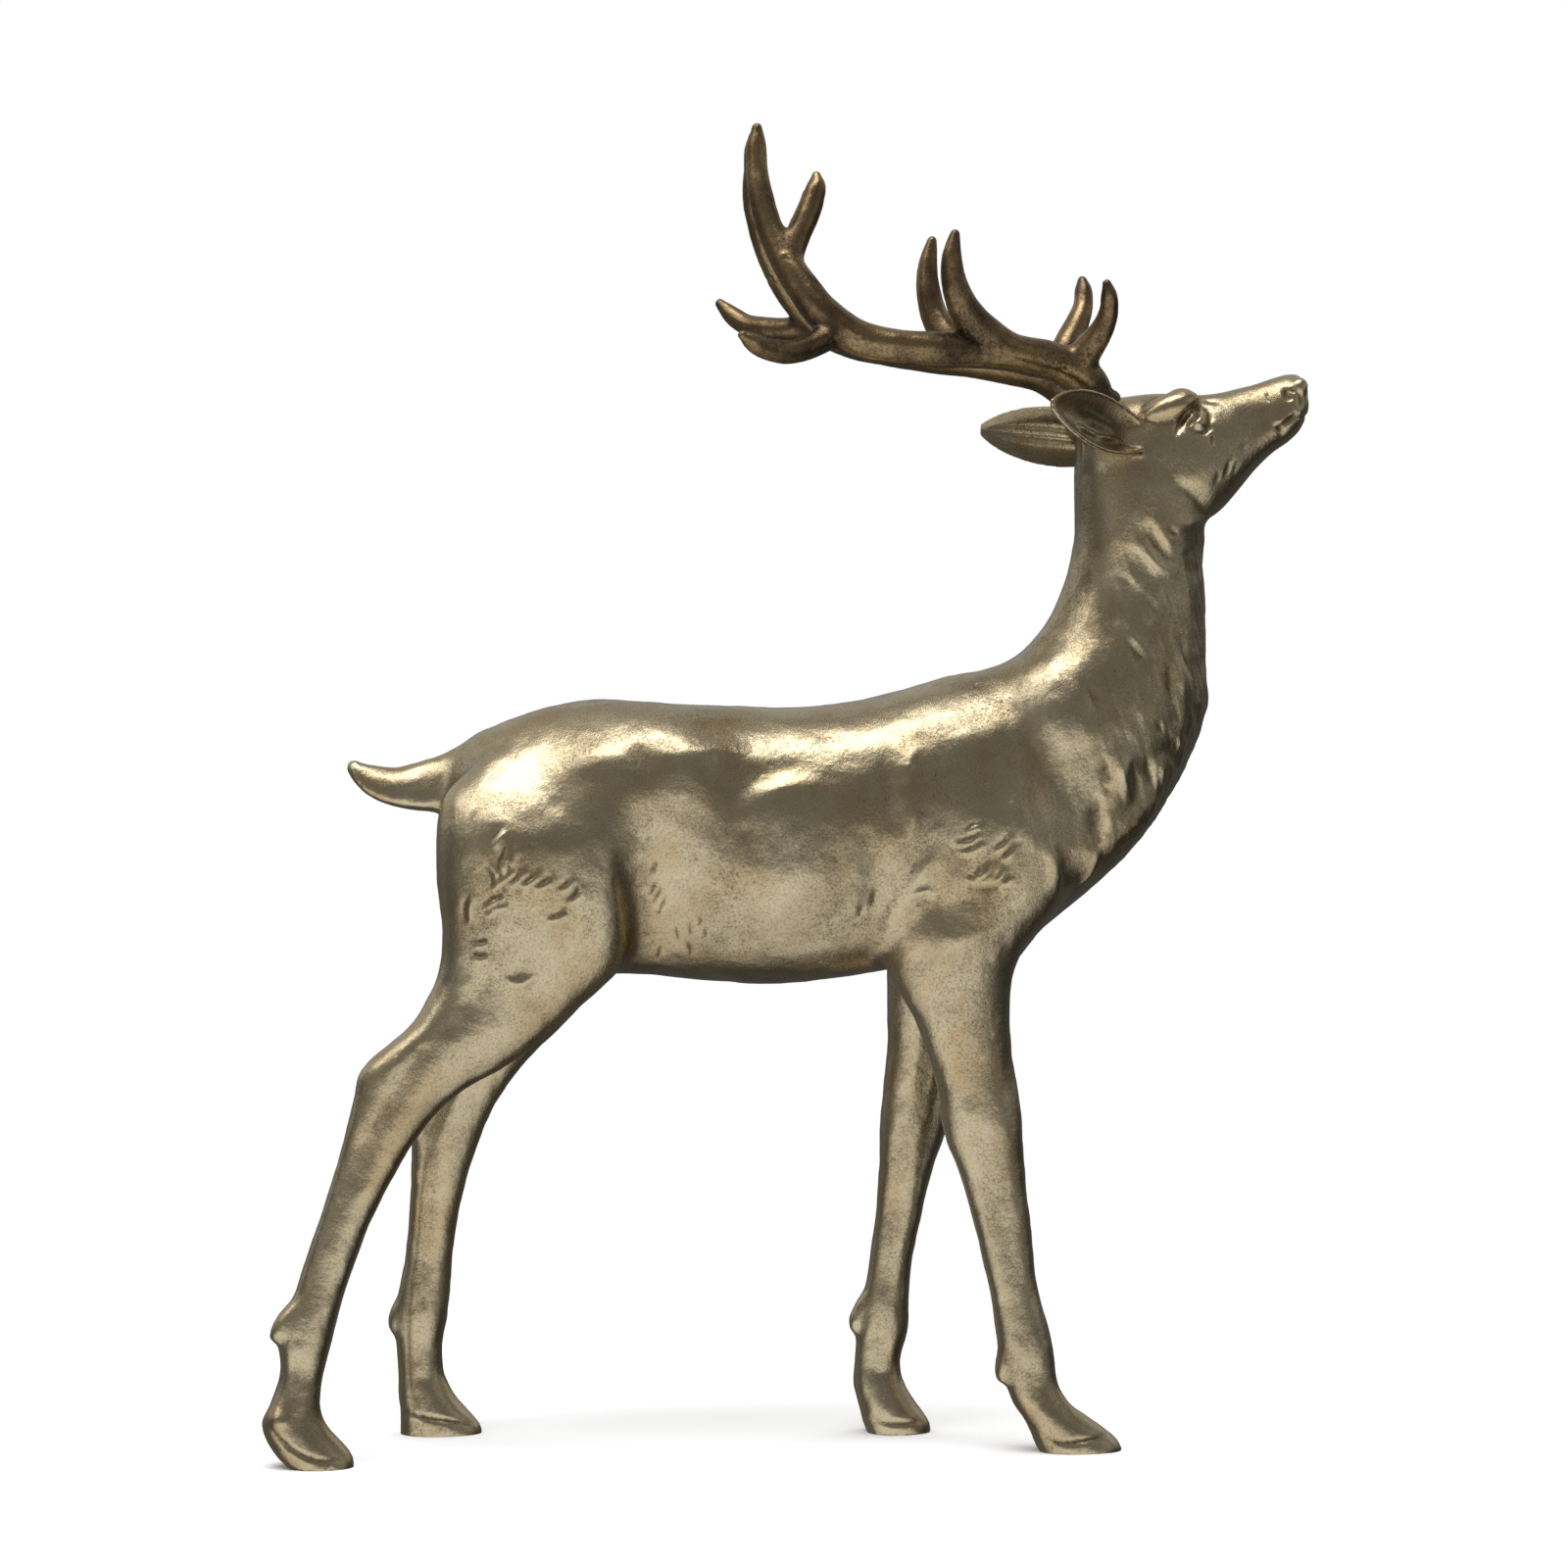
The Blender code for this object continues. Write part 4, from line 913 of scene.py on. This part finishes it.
def ears_pushed(skin_of):
    """Folds inside the cup, and two grooves down the back."""
    for word in EARS:
        root, reach, across, faces = ear_axes(word)
        length = reach.length
        offset = np.column_stack([skin_of.x - root.x, skin_of.y - root.y, skin_of.z - root.z])
        share = offset @ np.array(reach.normalized()) / length
        aside = offset @ np.array(across)
        depth = offset @ np.array(faces)
        half = np.interp(share, [r[0] for r in EAR_SECTIONS], [r[1] for r in EAR_SECTIONS])
        u = aside / np.maximum(half, 1.0)
        near = (share < 1.05) & (np.abs(u) < 1.3) & (depth > -10) & (depth < 4)
        on_ear = near * eased(share, 0.16, 0.3)
        inward = skin_of.normals @ np.array(faces)
        cup = on_ear * eased(inward, 0.15, 0.5)
        back = on_ear * eased(-inward, 0.15, 0.5)
        upward = u * math.copysign(1, across.z)
        folds = 0.0
        for low_share, high_share, at_low, at_high, wide, height in EAR_FOLDS:
            middle = at_low + (at_high - at_low) * (share - low_share) / (high_share - low_share)
            starts = eased(share, low_share - 0.05, low_share + 0.05)
            ends = eased(share, high_share + 0.05, high_share - 0.05)
            folds = folds + height * starts * ends * np.exp(-(((upward - middle) / wide) ** 2))
        grooves = np.exp(-(((u - 0.18) / 0.1) ** 2)) + np.exp(-(((u + 0.2) / 0.1) ** 2))
        skin_of.push += cup * folds
        skin_of.push -= back * grooves * 0.6 * eased(share, 1.0, 0.8)


# %% Hooves and pasterns
# For each leg the edge over the hoof, then the soft folds above it
HOOF_LINES = {
    "hind_right": [[(268, 1444), (284, 1461), (303, 1476), (326, 1485), (352, 1484)],
                   [(300, 1404), (316, 1409), (334, 1407)], [(296, 1392), (312, 1398), (330, 1396)],
                   [(278, 1372), (292, 1368), (312, 1362)]],
    "hind_left": [[(411, 1436), (436, 1442), (470, 1447), (488, 1450)],
                  [(414, 1400), (432, 1404), (446, 1402)]],
    "fore_right": [[(1058, 1462), (1080, 1468), (1108, 1464), (1138, 1458)],
                   [(1030, 1392), (1046, 1398), (1066, 1400)], [(1024, 1404), (1034, 1412), (1046, 1410)]],
    "fore_left": [[(884, 1444), (910, 1448), (940, 1446)], [(876, 1392), (896, 1398), (914, 1396)],
                  [(872, 1372), (886, 1368), (900, 1362)]],
}


def hooves_pushed(skin_of):
    for name, (rows, hoof, top, inward) in LEGS.items():
        own = (np.abs(skin_of.y - hoof) < 14) & (skin_of.z < 60)
        edge, *folds = HOOF_LINES[name]
        stroke(skin_of, edge, hoof, 0.9, -0.7, own)
        for spots in folds:
            stroke(skin_of, spots, hoof, 2.0, -0.22, own)
        # The cleft between the two toes, down the front and under the fetlock
        middle = np.exp(-(((skin_of.y - hoof) / 1.1) ** 2)) * eased(skin_of.z, 24, 14)
        facing = eased(np.abs(skin_of.normals[:, 0]), 0.15, 0.5) * (np.abs(skin_of.y - hoof) < 4)
        skin_of.push -= 1.3 * middle * facing * own


# %% The uneven surface of a hand-made model
def lumps_pushed(skin_of, fine):
    """Lumps of three sizes, weighed by fine, and thin streaks of hair down the neck and chest."""
    places = np.column_stack([skin_of.x, skin_of.y, skin_of.z])
    hairy = eased(skin_of.x, 62, 84) * eased(skin_of.z, 190, 215) * eased(skin_of.z, 322, 306)
    broad = np.empty(len(places))
    small = np.empty(len(places))
    tiny = np.empty(len(places))
    hair = np.zeros(len(places))
    for k, (x, y, z) in enumerate(places):
        broad[k] = noise.noise((x / 17, y / 17, z / 17))
        small[k] = noise.noise((x / 6, y / 6, z / 6 + 40))
        tiny[k] = noise.noise((x / 2.6, y / 2.6, z / 2.6 + 90))
    for k in np.nonzero(hairy > 0.02)[0]:
        x, y, z = places[k]
        along = z * 0.92 - x * 0.3
        across = x * 0.92 + z * 0.3
        fine_hair = noise.noise((across / 1.9, y / 2.4, along / 13))
        hair[k] = fine_hair + noise.noise((across / 4, y / 5, along / 22))
    skin_of.push += (0.42 * broad + 0.18 * small + 0.07 * tiny) * fine + hair * hairy * (
        0.12 * skin_of.sideways + 0.3 * eased(skin_of.normals[:, 0], 0.3, 0.7))


# %% Carve the body
body_skin = Skin(deer)
muscles_pushed(body_skin)
edges_pushed(body_skin)
shoulder_pushed(body_skin)
hair_pushed(body_skin)
neck_pushed(body_skin)
face_pushed(body_skin)
muzzle_pushed(body_skin)
ears_pushed(body_skin)
hooves_pushed(body_skin)
lumps_pushed(body_skin, eased(body_skin.z, 330, 300) * 0.75 + 0.25)
body_skin.written()
least, most = float(body_skin.push.min()), float(body_skin.push.max())
print("skin moved by", round(least, 2), "to", round(most, 2), "mm")

# %% Parting line and rough spots of the antlers
# Photo spot and size in pixels of each rough spot
ANTLER_SCARS = [(870, 346, 12), (982, 340, 8), (764, 214, 6), (800, 262, 7), (846, 350, 9), (1086, 372, 9)]


def antler_carved(word, side):
    """A fine line left by the mould down the rear and lower edge, rough spots, and an uneven skin."""
    skin_of = Skin(antlers[word])
    away = skin_of.normals[:, 1] * side
    behind_or_below = eased(-skin_of.normals[:, 0] - 0.8 * skin_of.normals[:, 2], 0.3, 0.6)
    line = np.exp(-(((away - 0.36) / 0.1) ** 2)) * behind_or_below
    rough = np.zeros(len(line))
    for px, py, size in ANTLER_SCARS:
        x, z = seen(px, py, -30)
        rough += np.exp(-(np.hypot(skin_of.x - x, skin_of.z - z) / (size * 0.32)) ** 2)
    places = np.column_stack([skin_of.x, skin_of.y, skin_of.z])
    for k, (x, y, z) in enumerate(places):
        broad = noise.noise((x / 9, y / 9, z / 9))
        small = noise.noise((x / 3, y / 3, z / 3))
        skin_of.push[k] = 0.26 * broad + 0.08 * small + 0.22 * line[k]
        if rough[k] > 0.05:
            skin_of.push[k] += 0.35 * min(rough[k], 1) * noise.noise((x / 1.6, y / 1.6, z / 1.6))
    skin_of.written()


for word, side in SIDES.items():
    antler_carved(word, side)

# %% [markdown]
# ## Patina
#
# The finish is put on pale, darkened all over, and rubbed back, so the brown stays in the
# hollows. A value stored on every point says how hollow the skin is there: how far the point
# lies below the average of its surroundings, near and far. It could be painted by hand, but
# measured it follows every carved line by itself.

# %% Measuring the hollows
def hollows(obj, rounds):
    """How far each point lies under the local average, in millimetres, positive in a hollow."""
    points = rows_of(obj.data.vertices, "co")
    normals = rows_of(obj.data.vertex_normals, "vector")
    around = neighbours(obj.data)
    result = []
    average = points.copy()
    for step in range(1, max(rounds) + 1):
        average = 0.5 * average + 0.5 * averaged(average, *around)
        if step in rounds:
            result.append(((average - points) * normals).sum(1) * 1000)
    return result


def patina_stored(obj, strengths, rounds=(6, 60)):
    """Stores the hollows, squeezed to 0 to 1 with 0.5 on even ground, as the point value hollow."""
    near, far = hollows(obj, rounds)
    skin_of = Skin(obj)
    ears = eased(np.abs(skin_of.y), 15, 19) * eased(skin_of.z, 325, 330) * eased(skin_of.z, 366, 360)
    value = 0.5 + 0.5 * np.tanh((near * strengths[0] + far * strengths[1]) * (1 - 0.75 * ears))
    store = obj.data.attributes.new("hollow", "FLOAT", "POINT")
    store.data.foreach_set("value", value.astype(np.float32))


patina_stored(deer, (7.0, 0.9))
for antler in antlers.values():
    patina_stored(antler, (8.0, 0.3))

# %% [markdown]
# ## Thinning and the last cuts
#
# The carved skins have far more triangles than the figure needs. The Decimate modifier takes
# away the edges whose loss changes the form least, so most stay where the skin bends. A
# coarser remesh would thin the locks of hair as much as the plain flank. The seats and the
# flat soles are cut after that, and the few points where the skin folds back are eased.

# %% Thinning, cutting and easing
MOST_TRIANGLES = {"stag_body": 190000, "stag_antler_right": 60000, "stag_antler_left": 60000}
FOLDED_BACK = math.radians(80)
JUST_ABOVE_THE_SOLE = 0.002


def thinned(obj):
    """Brings the skin under its number of triangles, keeping them where it bends."""
    obj.data.calc_loop_triangles()
    count = len(obj.data.loop_triangles)
    if count > MOST_TRIANGLES[obj.name]:
        decimate = obj.modifiers.new("fewer_faces", "DECIMATE")
        decimate.ratio = MOST_TRIANGLES[obj.name] / count
        decimate.use_collapse_triangulate = True
        settled(obj)
    print(obj.name, count, "triangles before thinning")


def specks_smoothed(obj):
    """Eases the few points where the skin folds back on itself, and none on the soles."""
    bm = bmesh.new()
    bm.from_mesh(obj.data)
    folded = {v for e in bm.edges if e.calc_face_angle(0.0) > FOLDED_BACK for v in e.verts}
    folded = [v for v in folded if v.co.z > JUST_ABOVE_THE_SOLE]
    for _ in range(4):
        bmesh.ops.smooth_vert(bm, verts=folded, factor=0.5, use_axis_x=True, use_axis_y=True, use_axis_z=True)
    bm.to_mesh(obj.data)
    bm.free()
    print(obj.name, "points eased:", len(folded))


pieces = (deer, *antlers.values())
for piece in pieces:
    thinned(piece)
seats_cut()
for piece in pieces:
    specks_smoothed(piece)
    piece.data.shade_smooth()
    piece.data.calc_loop_triangles()
    hollows_kept = "hollow" in piece.data.attributes
    print(piece.name, len(piece.data.loop_triangles), "triangles, hollows kept:", hollows_kept)

# %% [markdown]
# ## Finishes
#
# Both finishes are metal with a broken-up colour. Fine speckles and wide blotches of brown
# lie over the pale metal, more in the hollows than on the high places. Where the brown is
# thick the surface is duller. A fine grain of the casting is left to bump. A picture of worn
# metal would be quicker, but a pattern of nodes has no seams and stays sharp close by.

# %% Wiring of nodes
class Wiring:
    """The node tree of a material or a world, with short ways to add nodes to it."""

    def __init__(self, owner):
        owner.use_nodes = True
        self.nodes = owner.node_tree.nodes
        self.links = owner.node_tree.links

    def feed(self, socket, value):
        """Links an output to the socket, or sets the socket to a plain value."""
        if isinstance(value, bpy.types.NodeSocket):
            self.links.new(value, socket)
        else:
            socket.default_value = value

    def add(self, kind, inputs, output=0, **settings):
        """A new node with its settings and inputs, seen through one of its outputs."""
        node = self.nodes.new("ShaderNode" + kind)
        for name, value in settings.items():
            setattr(node, name, value)
        for name, value in inputs.items():
            self.feed(node.inputs[name], value)
        return node.outputs[output]

    def ramp(self, value, low, high, to_low=0.0, to_high=1.0):
        """A soft step from to_low to to_high while the value goes from low to high."""
        return self.add("MapRange", {"Value": value, "From Min": low, "From Max": high,
                                     "To Min": to_low, "To Max": to_high},
                        "Result", interpolation_type="SMOOTHSTEP")

    def plus(self, a, b, clamped=False):
        return self.add("Math", {0: a, 1: b}, operation="ADD", use_clamp=clamped)

    def times(self, a, b):
        return self.add("Math", {0: a, 1: b}, operation="MULTIPLY")

    def mixed(self, factor, *colours):
        """The first colour, going over to the second as the factor grows."""
        node = self.nodes.new("ShaderNodeMix")
        node.data_type = "RGBA"
        self.feed(node.inputs["Factor"], factor)
        for socket, colour in zip([s for s in node.inputs if s.type == "RGBA"], colours):
            self.feed(socket, colour)
        return [s for s in node.outputs if s.type == "RGBA"][0]


# %% Metal finishes
def antiqued_metal(name, pale, warm, brown, amount, rough):
    """Pale metal with brown left in the hollows; amount is how much brown stays on even ground."""
    material = bpy.data.materials.new(name)
    wiring = Wiring(material)
    on_piece = wiring.add("TexCoord", {}, "Object")
    stretched = wiring.add("Mapping", {"Vector": on_piece, "Scale": (0.35, 1.0, 0.6)}, "Vector")

    def clouds(scale, detail, roughness, at=on_piece):
        return wiring.add("TexNoise", {"Vector": at, "Scale": scale, "Detail": detail,
                                       "Roughness": roughness}, "Fac")

    hollow = wiring.add("Attribute", {}, "Fac", attribute_name="hollow")
    in_hollow = wiring.ramp(hollow, 0.52, 0.95)
    on_high = wiring.ramp(hollow, 0.5, 0.1)
    grainy = wiring.ramp(clouds(1400, 3, 0.7), 0.42, 0.66)
    speckle = wiring.ramp(clouds(1050, 4, 0.8), 0.47, 0.7)
    crowd = wiring.ramp(clouds(55, 5, 0.65), 0.4, 0.6)
    blotch = wiring.ramp(clouds(26, 6, 0.7), 0.42, 0.66)
    streak = wiring.ramp(clouds(90, 4, 0.6, stretched), 0.42, 0.66)
    tint = wiring.ramp(clouds(34, 5, 0.6), 0.44, 0.64)
    dirt = wiring.times(wiring.times(speckle, crowd), 0.55)
    for layer, share in ((grainy, 0.34), (blotch, amount), (streak, amount * 0.4), (in_hollow, 0.6)):
        dirt = wiring.plus(dirt, wiring.times(layer, share), clamped=True)
    rubbed = wiring.add("Math", {0: 1.0, 1: wiring.times(on_high, 0.6)}, operation="SUBTRACT")
    dirt = wiring.times(dirt, rubbed)
    grain = wiring.add("Bump", {"Strength": 0.55, "Distance": 0.0003,
                                "Height": clouds(420, 6, 0.7)}, "Normal")
    shader = wiring.nodes["Principled BSDF"]
    wiring.feed(shader.inputs["Base Color"], wiring.mixed(dirt, wiring.mixed(tint, pale, warm), brown))
    wiring.feed(shader.inputs["Roughness"], wiring.ramp(dirt, 0.0, 1.0, rough, rough + 0.34))
    wiring.feed(shader.inputs["Normal"], grain)
    shader.inputs["Metallic"].default_value = 1.0
    print(name, "has", len(wiring.nodes), "nodes")
    return material


champagne = antiqued_metal("antiqued_champagne", pale=(0.62, 0.53, 0.35, 1), warm=(0.56, 0.44, 0.26, 1),
                           brown=(0.15, 0.105, 0.06, 1), amount=0.3, rough=0.17)
bronze = antiqued_metal("dark_antique_bronze", pale=(0.38, 0.265, 0.135, 1), warm=(0.19, 0.13, 0.075, 1),
                        brown=(0.035, 0.025, 0.02, 1), amount=0.7, rough=0.2)

# %% Hand the pieces over
deer.data.materials.clear()
deer.data.materials.append(champagne)
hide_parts("deer")
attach(deer, "root")
for word, antler in antlers.items():
    antler.data.materials.clear()
    antler.data.materials.append(bronze)
    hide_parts(f"antler_{word}")
    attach(antler, "root")

# %% [markdown]
# ## Studio
#
# The photograph is a product shot on white. Metal shows little but what it mirrors, so the
# room is painted on the world by direction. Soft lights overhead and towards the tail are the
# broken bright band along the back. The white table is mirrored by the lower flank, and the dim
# room on the camera's side is the dark band between them. The camera itself sees plain white.
# Panels with lamps could stand around instead, but a reflection gives the way to its light and
# not how far off it is.

# %% Floor and the light that falls on it
floor_mesh = bmesh.new()
bmesh.ops.create_grid(floor_mesh, x_segments=1, y_segments=1, size=0.8)
floor = new_piece("floor", floor_mesh)
floor.visible_glossy = False
white = bpy.data.materials.new("white_floor")
wiring = Wiring(white)
matt = wiring.nodes["Principled BSDF"]
matt.inputs["Base Color"].default_value = (0.86, 0.86, 0.86, 1)
matt.inputs["Roughness"].default_value = 0.9
matt.inputs["Specular IOR Level"].default_value = 0.1
on_floor = wiring.add("TexCoord", {}, "Object")
oval = wiring.add("Mapping", {"Vector": on_floor, "Location": (0.03, 0.0, 0.0),
                              "Scale": (1.5, 1.0, 1.0)}, "Vector")
outwards = wiring.ramp(wiring.add("VectorMath", {0: oval}, "Value", operation="LENGTH"), 0.24, 0.42)
clear = wiring.add("BsdfTransparent", {})
faded = wiring.add("MixShader", {"Fac": outwards, 1: matt.outputs[0], 2: clear})
wiring.feed(wiring.nodes["Material Output"].inputs["Surface"], faded)
floor.data.materials.append(white)

lamp = bpy.data.lights.new("overhead", "AREA")
lamp.shape = "RECTANGLE"
lamp.size, lamp.size_y = 2.2, 1.6
lamp.energy = 37
overhead = bpy.data.objects.new("overhead", lamp)
bpy.context.scene.collection.objects.link(overhead)
overhead.location = (0, 0, 1.6)
overhead.visible_glossy = False

# %% Room that the metal mirrors
world = bpy.data.worlds.new("studio")
bpy.context.scene.world = world
room = Wiring(world)
view = room.add("TexCoord", {}, "Generated")
sideways, upwards = (room.add("SeparateXYZ", {0: view}, axis) for axis in ("X", "Z"))


def towards(way, low, high, dark, light):
    """Brightness by how near a view is to this way, from low to high cosine."""
    near = room.add("VectorMath", {0: view, 1: Vector(way).normalized()}, "Value", operation="DOT_PRODUCT")
    return room.ramp(near, low, high, dark, light)


# Way to each lamp of the room, the cosines where its light starts and is full, its brightness
SOFT_LIGHTS = [
    ((-0.05, -0.30, 0.95), 0.94, 0.98, 3.9),
    ((-0.66, -0.28, 0.70), 0.93, 0.985, 1.35),
    ((-0.34, -0.3, 0.89), 0.96, 0.99, 1.8),
    ((0.9, -0.35, 0.36), 0.88, 0.98, 0.2),
]
camera_side = towards((0, -1, 0.3), 0.0, 0.75, 0.03, 0.2)
far_side = room.times(towards((0, 0.98, 0.17), -0.05, 0.3, 0.0, 0.44),
                      room.ramp(upwards, 0.0, 0.4, 0.12, 1.0))
tail_side = room.ramp(sideways, 0.2, -0.95, 0.0, 0.09)
table = room.times(room.ramp(upwards, 0.02, -0.06, 0.0, 1.0),
                   towards((-0.15, -0.8, -0.75), 0.45, 0.75, 0.0, 0.72))
glow = camera_side
for part in (far_side, tail_side, table):
    glow = room.plus(glow, part)
for way, starts, full, brightness in SOFT_LIGHTS:
    glow = room.plus(glow, towards(way, starts, full, 0.0, brightness))
by_camera = room.add("LightPath", {}, "Is Camera Ray")
strength = room.add("Mix", {"Factor": by_camera, "A": glow, "B": 1.0}, "Result", data_type="FLOAT")
background = room.nodes["Background"]
room.feed(background.inputs["Strength"], strength)
background.inputs["Color"].default_value = (1.0, 1.0, 1.0, 1)
bpy.context.scene.view_settings.view_transform = "Standard"
print("room:", len(room.nodes), "nodes")
